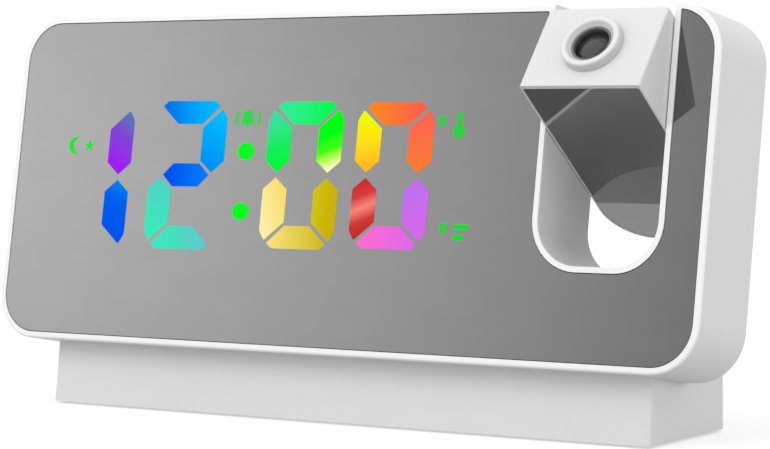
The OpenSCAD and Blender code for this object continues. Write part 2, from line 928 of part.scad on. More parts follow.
module board_screws() {
    color("silver") in_body() at_board_screws()
        depth_screw(main_back + head_t, main_back - cavity_front - 1);
}

header = [22, 2.5];
module board_header() {
    color("black") in_body()
        block(
            display_x, display_z - board_h / 2 + board_corner,
            header[0], header[1], display_back, main_front
        );
}

chip_shift = 3;
chip_x = display_x + chip_shift;
chip_side = 10;
chip_t = 1.4;
module controller_chip() {
    color("black") in_body()
        block(chip_x, cell_z, chip_side, chip_side, main_back, main_back + chip_t);
}

module push_switches() {
    color("dimgray") in_body() {
        for (i = [0:4])
            translate([button_x + i * button_pitch, 0, button_z])
                difference() {
                    block(0, 0, switch_side, switch_side, main_back, switch_face);
                    peg(0, 0, stem_tip - button_travel - well_spare, switch_face + past, switch_well);
                }
        difference() {
            translate([snooze_x - switch_side / 2, main_back, snooze_switch_top - switch_side])
                cube([switch_side, switch_side - 2, switch_side]);
            translate([snooze_x, snooze_stem_n, snooze_switch_top - snooze_well])
                cylinder(h = snooze_well + past, r = switch_well);
        }
    }
}

module sounder() {
    color("black") in_body()
        difference() {
            peg(sounder_x, cell_z, main_back, main_back + sounder_h, sounder_r);
            peg(sounder_x, cell_z, main_back + sounder_h - 1, main_back + sounder_h + past, 1);
        }
}

module temperature_sensor() {
    color("saddlebrown") in_body() {
        for (side = [-1, 1])
            peg(sensor_x + side * 0.6, sensor_z, main_back, main_back + 2.4, 0.3);
        translate([sensor_x, main_back + 3.2, sensor_z]) sphere(r = 1.3);
    }
}

holder_t = coin_t + 1.2;
module coin_cell_holder() {
    color("dimgray") in_body()
        difference() {
            peg(cell_x, cell_z, main_back, main_back + holder_t, coin_r + holder_wall);
            peg(cell_x, cell_z, main_back + 1, main_back + holder_t + past, coin_r + 0.1);
            block(cell_x, cell_z + coin_r, 9, 8, main_back + 1, main_back + holder_t + past);
        }
}

module coin_cell() {
    color("silver") in_body() {
        peg(cell_x, cell_z, main_back + 1, main_back + 1 + coin_t - 0.6, coin_r - 0.6);
        peg(cell_x, cell_z, main_back + 1.5, main_back + 1 + coin_t, coin_r);
    }
}

door_screw_z = cell_z - door_side / 2 + 2.2;
door_head_r = 1.6;
door_head_t = 0.6;
grip = [12, 0.8];
grip_depth = 0.4;
grip_pitch = 2;
grip_drop = 5;
module battery_door() {
    color("white") in_body()
        difference() {
            sheet(body_d - door_t, body_d) translate([cell_x, cell_z])
                round_rect(door_side, door_side, 3 - 0.15);
            peg(cell_x, door_screw_z, body_d - door_t - past, body_d + past, screw_r + screw_fit);
            peg(cell_x, door_screw_z, body_d - door_head_t, body_d + past, door_head_r + screw_fit);
            for (i = [0:2])
                block(cell_x, cell_z + door_side / 2 - grip_drop - grip_pitch * i,
                      grip[0], grip[1], body_d - grip_depth, body_d + past);
        }
}

module battery_door_screw() {
    color("silver") in_body() {
        peg(cell_x, door_screw_z, body_d - door_head_t, body_d, door_head_r);
        peg(cell_x, door_screw_z, cover_in + 0.1, body_d - door_head_t + small, screw_r);
    }
}

// ---------- sockets ----------

socket_board_back = socket_board_front + board_t;
module socket_board() {
    color("darkgreen") in_body()
        difference() {
            sheet(socket_board_front, socket_board_back)
                translate([socket_board_x, socket_board_z])
                    round_rect(socket_board[0], socket_board[1], 1);
            at_socket_screws() peg(0, 0, socket_board_front - past, socket_board_back + past,
                                   screw_r + screw_fit);
        }
}

module socket_board_screws() {
    color("silver") in_body() at_socket_screws()
        depth_screw(socket_board_back + head_t, socket_board_back - cavity_front + 0.5);
}

usb_depth = 9;
usb_tongue = [11.6, 1.84];
usb_tongue_rise = 1;
module charging_outlet() {
    color("silver") in_body()
        difference() {
            block(usb_x, socket_z, usb_w, usb_h, socket_board_back, body_d - 0.2);
            difference() {
                block(usb_x, socket_z, usb_w - 2 * usb_skin, usb_h - 2 * usb_skin,
                      body_d - usb_depth, body_d + past);
                block(usb_x, socket_z + usb_tongue_rise, usb_tongue[0], usb_tongue[1],
                      body_d - usb_depth - past, body_d - 0.8);
            }
        }
}

inlet_depth = 9.5;
module power_inlet() {
    color("black") in_body() {
        difference() {
            union() {
                block(inlet_x, socket_z, inlet_side, inlet_side, socket_board_back, cover_in - 0.3);
                peg(inlet_x, socket_z, cover_in - 0.3 - small, body_d - 0.2, inlet_side / 2);
            }
            difference() {
                peg(inlet_x, socket_z, body_d - inlet_depth, body_d + past, inlet_r);
                peg(inlet_x, socket_z, body_d - inlet_depth - past, body_d - 1.2, inlet_pin_r);
            }
        }
    }
}

// ---------- arm pivot ----------

module in_pivot() {
    in_body() translate([slot_x, pivot_d, pivot_h]) children();
}

pin_in = arm_boss_x + 0.3;
pin_seat = slot_boss_x;

module hollow_pivot_pin() {
    color("dimgray") in_pivot()
        difference() {
            union() {
                bar(-pin_seat - pin_flange_t, -pin_seat, pin_flange_r);
                bar(-pin_seat - small, -pin_in, pin_r);
            }
            bar(-pin_seat - pin_flange_t - past, 0, pin_bore_r);
        }
}

module solid_pivot_pin() {
    color("dimgray") in_pivot() {
        bar(pin_seat, pin_seat + pin_flange_t, pin_flange_r);
        bar(pin_in, pin_seat + small, pin_r);
    }
}

module friction_washers() {
    color("silver") in_pivot()
        for (side = [0, 1])
            mirror([side, 0, 0])
                difference() {
                    bar(slot_w / 2 - washer_t, slot_w / 2, washer_r);
                    bar(0, slot_w, pin_r + pin_fit);
                }
}

lead_end = display_x + board_w / 2 - board_corner;
plug_w = 5;
plug_h = 4;
module housing_lead() {
    color("firebrick") in_pivot()
        bar(lead_end - slot_x, -pin_seat - pin_flange_t - 0.1, wire_r);
}

module lead_plug() {
    color("ivory") in_body()
        block(lead_end - plug_w / 2, pivot_h, plug_w, plug_h, display_back + 0.3, main_front);
}

// ---------- arm ----------

module arm_case() {
    color("white") in_arm()
        difference() {
            union() {
                difference() {
                    sheet(arm_front, -arm_front) arm_outline(0, 0);
                    sheet(arm_front - past, arm_front + arm_mirror_t) arm_outline(arm_rim, arm_lip);
                    sheet(arm_in_front, -arm_front + past) arm_outline(arm_wall, lens_wall);
                }
                for (side = [0, 1])
                    mirror([side, 0, 0]) bar(arm_boss_x, arm_in_x + small, boss_r);
                at_arm_screws() peg(0, 0, arm_in_front - small, arm_in_back, arm_post_r);
            }
            bar(-arm_w, arm_w, pin_r + pin_fit);
            for (side = [0, 1])
                mirror([side, 0, 0]) bar(arm_w / 2 - washer_seat, arm_w, washer_r + washer_spare);
            translate([0, 0, arm_head - lens_wall - past])
                cylinder(h = lens_wall + 2 * past, r = neck_r + focus_fit);
            at_arm_screws() peg(0, 0, arm_in_back - arm_screw_len - 0.5, arm_in_back + past,
                                arm_screw_r + screw_fit);
        }
}

arm_post_r = 2.2;
arm_post_in = arm_post_r - 0.1;
arm_screw_z = 13;
arm_screw_r = 0.8;
arm_head_r = 1.5;
arm_head_t = 0.8;
arm_screw_len = 5;
module at_arm_screws() {
    for (side = [-1, 1])
        translate([side * (arm_in_x - arm_post_in), 0, arm_screw_z]) children();
    translate([0, 0, -arm_tail + arm_wall + arm_post_in]) children();
}

module arm_mirror() {
    color("dimgray") in_arm()
        sheet(arm_front + 0.1, arm_front + arm_mirror_t)
            arm_outline(arm_rim + 0.1, arm_lip + 0.1);
}

module arm_back() {
    color("white") in_arm()
        difference() {
            sheet(arm_in_back, -arm_front) arm_outline(arm_wall + 0.1, lens_wall + 0.1);
            at_arm_screws() {
                peg(0, 0, arm_in_back - past, -arm_front + past, arm_screw_r + screw_fit);
                peg(0, 0, -arm_front - arm_head_t, -arm_front + past, arm_head_r + screw_fit);
            }
        }
}

module arm_back_screws() {
    color("silver") in_arm() at_arm_screws() {
        peg(0, 0, -arm_front - arm_head_t, -arm_front, arm_head_r);
        peg(0, 0, arm_in_back - arm_screw_len, -arm_front - arm_head_t + small, arm_screw_r);
    }
}

module tube_block(x, y, a, b, skin) {
    difference() {
        translate([-x, -y, a]) cube([2 * x, 2 * y, b - a]);
        translate([-x + skin, -y + skin, a - past])
            cube([2 * (x - skin), 2 * (y - skin), b - a + 2 * past]);
    }
}

module light_tunnel() {
    color("black") in_arm() tube_block(tunnel_x, tunnel_y, tunnel_bottom, tunnel_top, tunnel_wall);
}

lamp_z = tunnel_bottom - lamp_t;
module lamp_board() {
    color("darkgreen") in_arm()
        translate([-tunnel_x, -tunnel_y, lamp_z]) cube([2 * tunnel_x, 2 * tunnel_y, lamp_t]);
}

module lamp_led() {
    color("lemonchiffon") in_arm() {
        translate([-1.75, -1.75, tunnel_bottom]) cube([3.5, 3.5, 0.8]);
        intersection() {
            translate([0, 0, tunnel_bottom + 0.8 - 0.5]) sphere(r = 1.6);
            translate([-2, -2, tunnel_bottom + 0.8 - small]) cube([4, 4, 3]);
        }
    }
}

module heat_sink() {
    fins = 6;
    pitch = (2 * tunnel_x - fin_t) / (fins - 1);
    color("silver") in_arm() {
        translate([-tunnel_x, -tunnel_y, lamp_z - sink_base])
            cube([2 * tunnel_x, 2 * tunnel_y, sink_base]);
        for (i = [0:fins - 1])
            translate([-tunnel_x + i * pitch, -tunnel_y, lamp_z - sink_base - fin_len])
                cube([fin_t, 2 * tunnel_y, fin_len + small]);
    }
}

// A lens with one flat face, held at its rim.
module flat_lens(r, edge, dome) {
    ball = (r * r + dome * dome) / (2 * dome);
    cylinder(h = edge, r = r);
    intersection() {
        translate([0, 0, edge + dome - ball]) sphere(r = ball);
        translate([0, 0, edge - small]) cylinder(h = dome + past, r = r);
    }
}

module condenser_lens() {
    color("lightcyan", 0.6) in_arm()
        translate([0, 0, -8]) flat_lens(tunnel_y - tunnel_wall - 0.1, 1.2, 2.2);
}

module time_slide() {
    color("darkslategray") in_arm()
        translate([-tunnel_x + tunnel_wall + 0.1, -tunnel_y + tunnel_wall + 0.1, 1.5])
            cube([2 * (tunnel_x - tunnel_wall - 0.1), 2 * (tunnel_y - tunnel_wall - 0.1), 1.8]);
}

cell_bottom = cell_top - cell_len;
lens_seat = cell_top - lens_sink;
lens_rim = 1.4;
lens_dome = 0.9;
lens_ledge = 0.6;
module lens_guide() {
    color("black") in_arm()
        difference() {
            translate([-guide_x, -tunnel_y, tunnel_top])
                cube([2 * guide_x, 2 * tunnel_y, guide_top - tunnel_top]);
            translate([0, 0, tunnel_top - past]) cylinder(h = guide_top, r = guide_bore);
            translate([-key_reach - key_gap, -key_w / 2 - key_gap, cell_bottom - focus_travel - key_gap])
                cube([2 * (key_reach + key_gap), key_w + 2 * key_gap, guide_top]);
        }
}

module lens_cell() {
    color("black") in_arm()
        difference() {
            union() {
                translate([0, 0, cell_bottom]) cylinder(h = cell_len, r = cell_r);
                translate([-key_reach, -key_w / 2, cell_bottom]) cube([2 * key_reach, key_w, key_t]);
            }
            translate([0, 0, lens_seat]) cylinder(h = cell_len, r = cell_r - cell_wall);
            translate([0, 0, cell_bottom - past])
                cylinder(h = cell_len, r = cell_r - cell_wall - lens_ledge);
        }
}

module projection_lens() {
    color("lightcyan", 0.6) in_arm()
        translate([0, 0, lens_seat]) flat_lens(cell_r - cell_wall, lens_rim, lens_dome);
}

ring_bottom = arm_head - lens_wall - clip_t - 0.6;

// Half section of the ring: its neck in the lens face, then its rounded top and bevelled bore.
module ring_section() {
    top = arm_head + ring_proud;
    foot = arm_head + ring_lift;
    difference() {
        union() {
            translate([ring_bore, ring_bottom])
                square([neck_r - ring_bore, top - ring_round - ring_bottom]);
            translate([ring_bore, foot]) square([ring_r - ring_bore, top - ring_round - foot]);
            translate([ring_bore, foot]) square([ring_r - ring_round - ring_bore, top - foot]);
            translate([ring_r - ring_round, top - ring_round]) circle(ring_round);
        }
        polygon([
            [ring_bore - past, top + past],
            [ring_bore + ring_bevel + past, top + past],
            [ring_bore - past, top - ring_bevel - past]
        ]);
    }
}

module focus_ring() {
    color("white") in_arm() rotate_extrude() ring_section();
}

module ring_clip() {
    color("dimgray") in_arm()
        difference() {
            translate([0, 0, arm_head - lens_wall - 0.1 - clip_t]) cylinder(h = clip_t, r = neck_r + 1);
            translate([0, 0, ring_bottom - past]) cylinder(h = 10, r = neck_r);
        }
}

// The arm's wires rise beside the light tunnel and turn into the hollow pin.
module arm_lead() {
    color("firebrick") in_arm() {
        translate([-wire_x, 0, lamp_z + lamp_t]) cylinder(h = -wire_bend - lamp_z - lamp_t, r = wire_r);
        translate([-wire_x - wire_bend, 0, -wire_bend]) rotate([90, 0, 0])
            rotate_extrude(angle = 90) translate([wire_bend, 0]) circle(wire_r);
        bar(-pin_seat - pin_flange_t, -wire_x - wire_bend, wire_r);
    }
}

// ---------- buttons ----------

module snooze_button() {
    color("white") in_body() {
        translate([snooze_x, snooze_back, snooze_flange_top - small])
            linear_extrude(body_h + snooze_proud - snooze_flange_top) round_rect(snooze_w, snooze_d, 1.7);
        translate([snooze_x, snooze_back, snooze_flange_top - flange])
            linear_extrude(flange) round_rect(snooze_w + 2 * flange, snooze_d + 2 * flange, 2.6);
        translate([snooze_x, snooze_stem_n, snooze_switch_top - stem_in])
            cylinder(h = snooze_flange_top - snooze_switch_top + stem_in - flange + small, r = cap_stem_r);
    }
}

// A rear button: its cap, the flange behind the cover and the stem in its switch.
module rear_button(i) {
    color("white") in_body() translate([button_x + i * button_pitch, 0, button_z]) {
        sheet(cap_flange_back - small, body_d + button_proud)
            round_rect(button_w, button_h, button_h / 2 - small);
        sheet(cap_flange_back - flange, cap_flange_back)
            round_rect(button_w + 2 * flange, button_h + 2 * flange, button_h / 2);
        peg(0, 0, stem_tip, cap_flange_back - flange + small, cap_stem_r);
    }
}

module mode_button() rear_button(0);
module set_button() rear_button(1);
module up_button() rear_button(2);
module down_button() rear_button(3);
module projector_button() rear_button(4);

housing();
mirror_panel();
rear_cover();
cover_screws();
base_shell();
base_plate();
base_plate_screws();
base_mount_screws();
rubber_foot();
display_frame();
segment_diffusers();
display_board();
display_leds();
main_board();
board_spacers();
board_screws();
board_header();
controller_chip();
push_switches();
sounder();
temperature_sensor();
coin_cell_holder();
coin_cell();
battery_door();
battery_door_screw();
socket_board();
socket_board_screws();
charging_outlet();
power_inlet();
hollow_pivot_pin();
solid_pivot_pin();
friction_washers();
housing_lead();
lead_plug();
arm_case();
arm_mirror();
arm_back();
arm_back_screws();
light_tunnel();
lamp_board();
lamp_led();
heat_sink();
condenser_lens();
time_slide();
lens_guide();
arm_lead();
focus_ring();
ring_clip();
lens_cell();
projection_lens();
snooze_button();
mode_button();
set_button();
up_button();
down_button();
projector_button();
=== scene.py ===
import json
import math

import bmesh
import bpy
from mathutils import Matrix, Vector


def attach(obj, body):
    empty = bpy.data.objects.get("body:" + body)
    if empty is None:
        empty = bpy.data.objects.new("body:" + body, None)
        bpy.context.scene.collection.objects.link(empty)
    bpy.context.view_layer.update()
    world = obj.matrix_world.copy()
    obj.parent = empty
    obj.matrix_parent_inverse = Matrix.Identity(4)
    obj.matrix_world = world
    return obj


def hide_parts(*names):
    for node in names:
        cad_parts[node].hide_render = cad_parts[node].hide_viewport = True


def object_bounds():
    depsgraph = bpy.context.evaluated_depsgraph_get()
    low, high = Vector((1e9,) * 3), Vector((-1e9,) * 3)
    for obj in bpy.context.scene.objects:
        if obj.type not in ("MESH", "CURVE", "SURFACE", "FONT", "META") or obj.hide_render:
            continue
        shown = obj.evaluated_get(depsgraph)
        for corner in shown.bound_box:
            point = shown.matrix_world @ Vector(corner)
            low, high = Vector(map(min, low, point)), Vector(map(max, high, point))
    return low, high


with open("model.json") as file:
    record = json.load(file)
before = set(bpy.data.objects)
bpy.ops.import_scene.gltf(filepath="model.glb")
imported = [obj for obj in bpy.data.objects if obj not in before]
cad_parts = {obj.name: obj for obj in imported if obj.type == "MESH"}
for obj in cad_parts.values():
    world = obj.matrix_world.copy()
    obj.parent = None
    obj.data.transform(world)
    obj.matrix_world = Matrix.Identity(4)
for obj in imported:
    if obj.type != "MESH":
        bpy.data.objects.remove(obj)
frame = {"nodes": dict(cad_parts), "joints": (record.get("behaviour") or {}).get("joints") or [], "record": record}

cadLow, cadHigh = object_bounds()
mm = 0.001
scene = bpy.context.scene
nodes = frame["nodes"]
joints = {joint["name"]: joint for joint in frame["joints"]}
print("frame loaded:", len(nodes), "nodes")


# Where the leaning housing and the arm stand, from the joints

housing = {
    "pivotAcross": 68.75 * mm,   # the arm's pivot, from the middle of the front lower edge
    "pivotDeep": 10.875 * mm,
    "pivotUp": 56.75 * mm,
    "mirrorDeep": 0.2 * mm,      # the mirror's face, behind the front rim
}


def axesFrame(origin, across, deep, up):
    turn = Matrix((across, deep, up)).transposed().to_4x4()
    return Matrix.Translation(origin) @ turn


armPivot = Vector(joints["arm_tilt"]["pos_m"])
sideways = Vector((1, 0, 0))
upLean = -Vector(joints["snooze_press"]["axis"]).normalized()
inLean = Vector(joints["mode_press"]["axis"]).normalized()
deepLean = -inLean if inLean.y < 0 else inLean
alongArm = Vector(joints["focus_turn"]["axis"]).normalized()
behindArm = alongArm.cross(sideways)

housingFrame = axesFrame(
    armPivot
    - sideways * housing["pivotAcross"]
    - deepLean * housing["pivotDeep"]
    - upLean * housing["pivotUp"],
    sideways, deepLean, upLean,
)


# Camera at three-quarter view, a little below the top of the clock

cameraView = {
    "place": (0.347717, -0.506283, 0.076186),    # metres
    "yaw": 34.174,                               # degrees
    "pitch": -3.0137,
    "roll": -0.466,
    "lens": 126.2,                               # millimetres
    "sensor": 36,
}


def makeCamera():
    data = bpy.data.cameras.new("camera")
    data.lens = cameraView["lens"]
    data.sensor_width = cameraView["sensor"]
    data.dof.use_dof = False
    yaw, pitch, roll = (math.radians(cameraView[turn]) for turn in ("yaw", "pitch", "roll"))
    forward = Vector((
        -math.sin(yaw) * math.cos(pitch), math.cos(yaw) * math.cos(pitch), math.sin(pitch)
    ))
    right = Vector((math.cos(yaw), math.sin(yaw), 0))
    up = right.cross(forward)
    turnedRight = right * math.cos(roll) + up * math.sin(roll)
    turnedUp = up * math.cos(roll) - right * math.sin(roll)
    camera = bpy.data.objects.new("camera", data)
    camera.matrix_world = axesFrame(Vector(cameraView["place"]), turnedRight, turnedUp, -forward)
    scene.collection.objects.link(camera)
    scene.camera = camera


makeCamera()
scene.view_settings.view_transform = "Standard"
print("camera placed")


# Node helpers that the finishes share


def newFinish(name):
    finish = bpy.data.materials.new(name)
    finish.use_nodes = True
    return finish, finish.node_tree, finish.node_tree.nodes["Principled BSDF"]


# Place on the surface, in the object's own axes
def placeOn(tree):
    return tree.nodes.new("ShaderNodeTexCoord").outputs["Object"]


def noise(tree, scale, detail=2, stretch=None):
    texture = tree.nodes.new("ShaderNodeTexNoise")
    texture.inputs["Scale"].default_value = scale
    texture.inputs["Detail"].default_value = detail
    place = placeOn(tree)
    if stretch:
        mapping = tree.nodes.new("ShaderNodeMapping")
        mapping.inputs["Scale"].default_value = stretch
        tree.links.new(place, mapping.inputs["Vector"])
        place = mapping.outputs["Vector"]
    tree.links.new(place, texture.inputs["Vector"])
    return texture.outputs["Fac"]


# Maps a value to another range, by default from the range where most noise lies
def spread(tree, value, low, high, fromLow=0.3, fromHigh=0.7):
    node = tree.nodes.new("ShaderNodeMapRange")
    node.inputs["From Min"].default_value = fromLow
    node.inputs["From Max"].default_value = fromHigh
    node.inputs["To Min"].default_value = low
    node.inputs["To Max"].default_value = high
    tree.links.new(value, node.inputs["Value"])
    return node.outputs["Result"]


# Colours along a value, from stops of (value, colour)
def shades(tree, value, stops):
    ramp = tree.nodes.new("ShaderNodeValToRGB")
    band = ramp.color_ramp
    while len(band.elements) < len(stops):
        band.elements.new(0.5)
    for element, (place, colour) in zip(band.elements, stops):
        element.position = place
        element.color = (*colour, 1)
    tree.links.new(value, ramp.inputs["Fac"])
    return ramp.outputs["Color"]


# Base colour by a pattern, and below it roughness and bump
def colourBy(tree, shader, value, stops):
    tree.links.new(shades(tree, value, stops), shader.inputs["Base Color"])


def roughBy(tree, shader, value, low, high):
    tree.links.new(spread(tree, value, low, high), shader.inputs["Roughness"])


def bumpBy(tree, shader, value, strength, depth):
    bump = tree.nodes.new("ShaderNodeBump")
    bump.inputs["Strength"].default_value = strength
    bump.inputs["Distance"].default_value = depth
    tree.links.new(value, bump.inputs["Height"])
    tree.links.new(bump.outputs["Normal"], shader.inputs["Normal"])


def mathStep(tree, operation, first, second=None):
    step = tree.nodes.new("ShaderNodeMath")
    step.operation = operation
    for socket, value in zip(step.inputs, (first, second)):
        if isinstance(value, bpy.types.NodeSocket):
            tree.links.new(value, socket)
        elif value is not None:
            socket.default_value = value
    return step.outputs[0]


# Distance of the surface past a plane, along the plane's direction
def pastPlane(tree, origin, direction):
    dot = tree.nodes.new("ShaderNodeVectorMath")
    dot.operation = "DOT_PRODUCT"
    dot.inputs[1].default_value = direction
    tree.links.new(placeOn(tree), dot.inputs[0])
    return mathStep(tree, "SUBTRACT", dot.outputs["Value"], direction.dot(origin))


# The mix node names several sockets alike, so its colour sockets go by number
def blended(tree, amount, first, second):
    mix = tree.nodes.new("ShaderNodeMix")
    mix.data_type = "RGBA"
    tree.links.new(amount, mix.inputs[0])
    for socket, colour in ((mix.inputs[6], first), (mix.inputs[7], second)):
        if isinstance(colour, bpy.types.NodeSocket):
            tree.links.new(colour, socket)
        else:
            socket.default_value = (*colour, 1)
    return mix.outputs[2]


def scaled(colour, amount):
    return tuple(channel * amount for channel in colour)


def grey(level):
    return (level, level, level)


# Moulded plastic: fine spark-eroded grain, faint flow shading, uneven gloss

moulding = {
    "grain": 5200,
    "grainBump": 0.3,
    "grainDeep": 0.006 * mm,
    "flow": 30,
    "flowShade": 0.985,
    "glossChange": 0.05,
    "specular": 0.35,
}


def plastic(name, colour, roughness):
    finish, tree, shader = newFinish(name)
    grain = noise(tree, moulding["grain"], 3)
    flow = noise(tree, moulding["flow"])
    change = moulding["glossChange"]
    colourBy(tree, shader, flow, [(0.3, scaled(colour, moulding["flowShade"])), (0.7, colour)])
    roughBy(tree, shader, grain, roughness - change, roughness + change)
    shader.inputs["Specular IOR Level"].default_value = moulding["specular"]
    bumpBy(tree, shader, grain, moulding["grainBump"], moulding["grainDeep"])
    return finish


# Half-silvered mirror: a dark metal layer with very faint wiping marks

silvering = {
    "wipes": 60,
    "wipeStretch": (1, 1, 2.5),
    "wipeShades": (0.985, 1.015),
    "roughness": (0.008, 0.03),
}


def mirror(name, tint):
    finish, tree, shader = newFinish(name)
    wipe = noise(tree, silvering["wipes"], 4, silvering["wipeStretch"])
    dark, pale = (grey(tint * share) for share in silvering["wipeShades"])
    colourBy(tree, shader, wipe, [(0.35, dark), (0.65, pale)])
    roughBy(tree, shader, wipe, *silvering["roughness"])
    shader.inputs["Metallic"].default_value = 1
    return finish


# Brushed metal, with fine lines that lie one above another

brushing = {
    "lines": 900,
    "lineShade": 0.82,
    "lineBump": 0.2,
    "lineDeep": 0.01 * mm,
    "glossChange": 0.08,
}


def brushedMetal(name, colour, roughness, stretch=(1, 1, 12)):
    finish, tree, shader = newFinish(name)
    lines = noise(tree, brushing["lines"], 4, stretch)
    change = brushing["glossChange"]
    colourBy(tree, shader, lines, [(0.3, scaled(colour, brushing["lineShade"])), (0.7, colour)])
    roughBy(tree, shader, lines, roughness - change, roughness + change)
    shader.inputs["Metallic"].default_value = 1
    bumpBy(tree, shader, lines, brushing["lineBump"], brushing["lineDeep"])
    return finish


# Matt rubber with a coarse speckle

rubberSkin = {
    "speckle": 2600,
    "speckleShade": 0.7,
    "speckleBump": 0.5,
    "speckleDeep": 0.03 * mm,
    "roughness": (0.72, 0.9),
}


def rubber(name, colour):
    finish, tree, shader = newFinish(name)
    speckle = noise(tree, rubberSkin["speckle"], 4)
    dark = scaled(colour, rubberSkin["speckleShade"])
    colourBy(tree, shader, speckle, [(0.35, dark), (0.65, colour)])
    roughBy(tree, shader, speckle, *rubberSkin["roughness"])
    bumpBy(tree, shader, speckle, rubberSkin["speckleBump"], rubberSkin["speckleDeep"])
    return finish


# Circuit board: green lacquer over a weave, with faint raised tracks

lacquer = {
    "weave": 1500,
    "tracks": 260,
    "trackBend": 3,
    "trackBump": 0.3,
    "trackDeep": 0.03 * mm,
    "between": (0.006, 0.09, 0.03),
    "overTracks": (0.015, 0.17, 0.06),
    "roughness": (0.28, 0.4),
}


def lacqueredBoard(name):
    finish, tree, shader = newFinish(name)
    weave = noise(tree, lacquer["weave"])
    tracks = tree.nodes.new("ShaderNodeTexWave")
    tracks.inputs["Scale"].default_value = lacquer["tracks"]
    tracks.inputs["Distortion"].default_value = lacquer["trackBend"]
    tree.links.new(placeOn(tree), tracks.inputs["Vector"])
    height = tracks.outputs["Fac"]
    colourBy(tree, shader, height, [(0.55, lacquer["between"]), (0.8, lacquer["overTracks"])])
    roughBy(tree, shader, weave, *lacquer["roughness"])
    bumpBy(tree, shader, height, lacquer["trackBump"], lacquer["trackDeep"])
    return finish


# Dark polished glass with a trace of dust

glassSkin = {
    "dust": 700,
    "dustShade": 1.3,
    "roughness": (0.02, 0.06),
}


def darkGlass(name, level, gloss):
    finish, tree, shader = newFinish(name)
    dust = noise(tree, glassSkin["dust"], 3)
    dusty = grey(level * glassSkin["dustShade"])
    colourBy(tree, shader, dust, [(0.4, grey(level)), (0.8, dusty)])
    roughBy(tree, shader, dust, *glassSkin["roughness"])
    shader.inputs["Specular IOR Level"].default_value = gloss
    return finish


# Moulded plastic with another shade painted near a plane, which fades out behind it: painted highlights on the
# housing's front rim and the ring's crest, painted shade at the arm's front rim, painted light at the lens cell's
# mouth

paintedRimHighlight = {"shade": grey(0.86), "deep": 0.35 * mm, "fade": 0.25 * mm}
paintedArmRimShade = {"shade": grey(0.7), "deep": 0.2 * mm, "fade": 0.2 * mm}
paintedCellMouthLight = {"shade": grey(0.15), "deep": 0.1 * mm, "fade": 1.5 * mm}
paintedCrestHighlight = {"shade": grey(0.74), "deep": 0.05 * mm, "fade": 0.3 * mm}


def plasticWithPaintedRim(name, colour, roughness, origin, inward, rim):
    finish = plastic(name, colour, roughness)
    tree = finish.node_tree
    shader = tree.nodes["Principled BSDF"]
    deep = pastPlane(tree, origin, inward)
    away = spread(tree, deep, 0, 1, rim["deep"], rim["deep"] + rim["fade"])
    plain = shader.inputs["Base Color"].links[0].from_socket
    tree.links.new(blended(tree, away, rim["shade"], plain), shader.inputs["Base Color"])
    return finish


# Coated glass with a painted light square: the slide's lit square window, painted faint on the glass as if seen
# through it

paintedLensWindow = {
    "half": 2.05 * mm,
    "fade": 0.2 * mm,
    "turn": -25,
    "offset": (-0.2 * mm, -0.6 * mm),
    "glass": 0.028,
    "window": 0.06,
    "gloss": 0.4,
}


def glassWithPaintedWindow(name):
    finish = darkGlass(name, paintedLensWindow["glass"], paintedLensWindow["gloss"])
    tree = finish.node_tree
    shader = tree.nodes["Principled BSDF"]
    turn = math.radians(paintedLensWindow["turn"])
    across = sideways * math.cos(turn) + behindArm * math.sin(turn)
    other = behindArm * math.cos(turn) - sideways * math.sin(turn)
    shift = paintedLensWindow["offset"]
    middle = armPivot + sideways * shift[0] + behindArm * shift[1]
    reach = mathStep(
        tree, "MAXIMUM",
        mathStep(tree, "ABSOLUTE", pastPlane(tree, middle, across)),
        mathStep(tree, "ABSOLUTE", pastPlane(tree, middle, other)),
    )
    inside = spread(tree, reach, 1, 0, paintedLensWindow["half"], paintedLensWindow["half"] + paintedLensWindow["fade"])
    dust = shader.inputs["Base Color"].links[0].from_socket
    lit = blended(tree, inside, dust, grey(paintedLensWindow["window"]))
    tree.links.new(lit, shader.inputs["Base Color"])
    return finish


# One finish for each material slot of the part

shellWhite = grey(0.72)
buttonGrey = grey(0.55)

finishes = {
    "white_plastic": plastic("whitePlastic", shellWhite, 0.42),
    "grey_plastic": plastic("greyPlastic", buttonGrey, 0.5),
    "black_plastic": plastic("blackPlastic", grey(0.03), 0.45),
    "mirror": mirror("clockMirror", 0.138),
    "arm_mirror": mirror("armMirror", 0.25),
    "steel": brushedMetal("screwSteel", (0.62, 0.61, 0.6), 0.3),
    "aluminium": brushedMetal("finAluminium", (0.8, 0.81, 0.82), 0.35),
    "coin": brushedMetal("coinSteel", (0.68, 0.67, 0.65), 0.25, (1, 1, 3)),
    "rubber": rubber("footRubber", grey(0.06)),
    "diffuser": plastic("segmentDiffuser", (0.7, 0.75, 0.78), 0.6),
    "circuit_board": lacqueredBoard("circuitBoard"),
    "led": plastic("ledResin", (0.8, 0.74, 0.45), 0.25),
    "resin": plastic("chipResin", grey(0.025), 0.55),
    "wire": plastic("wireSleeve", (0.5, 0.03, 0.02), 0.4),
    "glass": darkGlass("lensGlass", 0.05, 0.6),
}


# The first point of a node along a direction
def firstPoint(name, direction):
    return min((v.co for v in nodes[name].data.vertices), key=direction.dot)


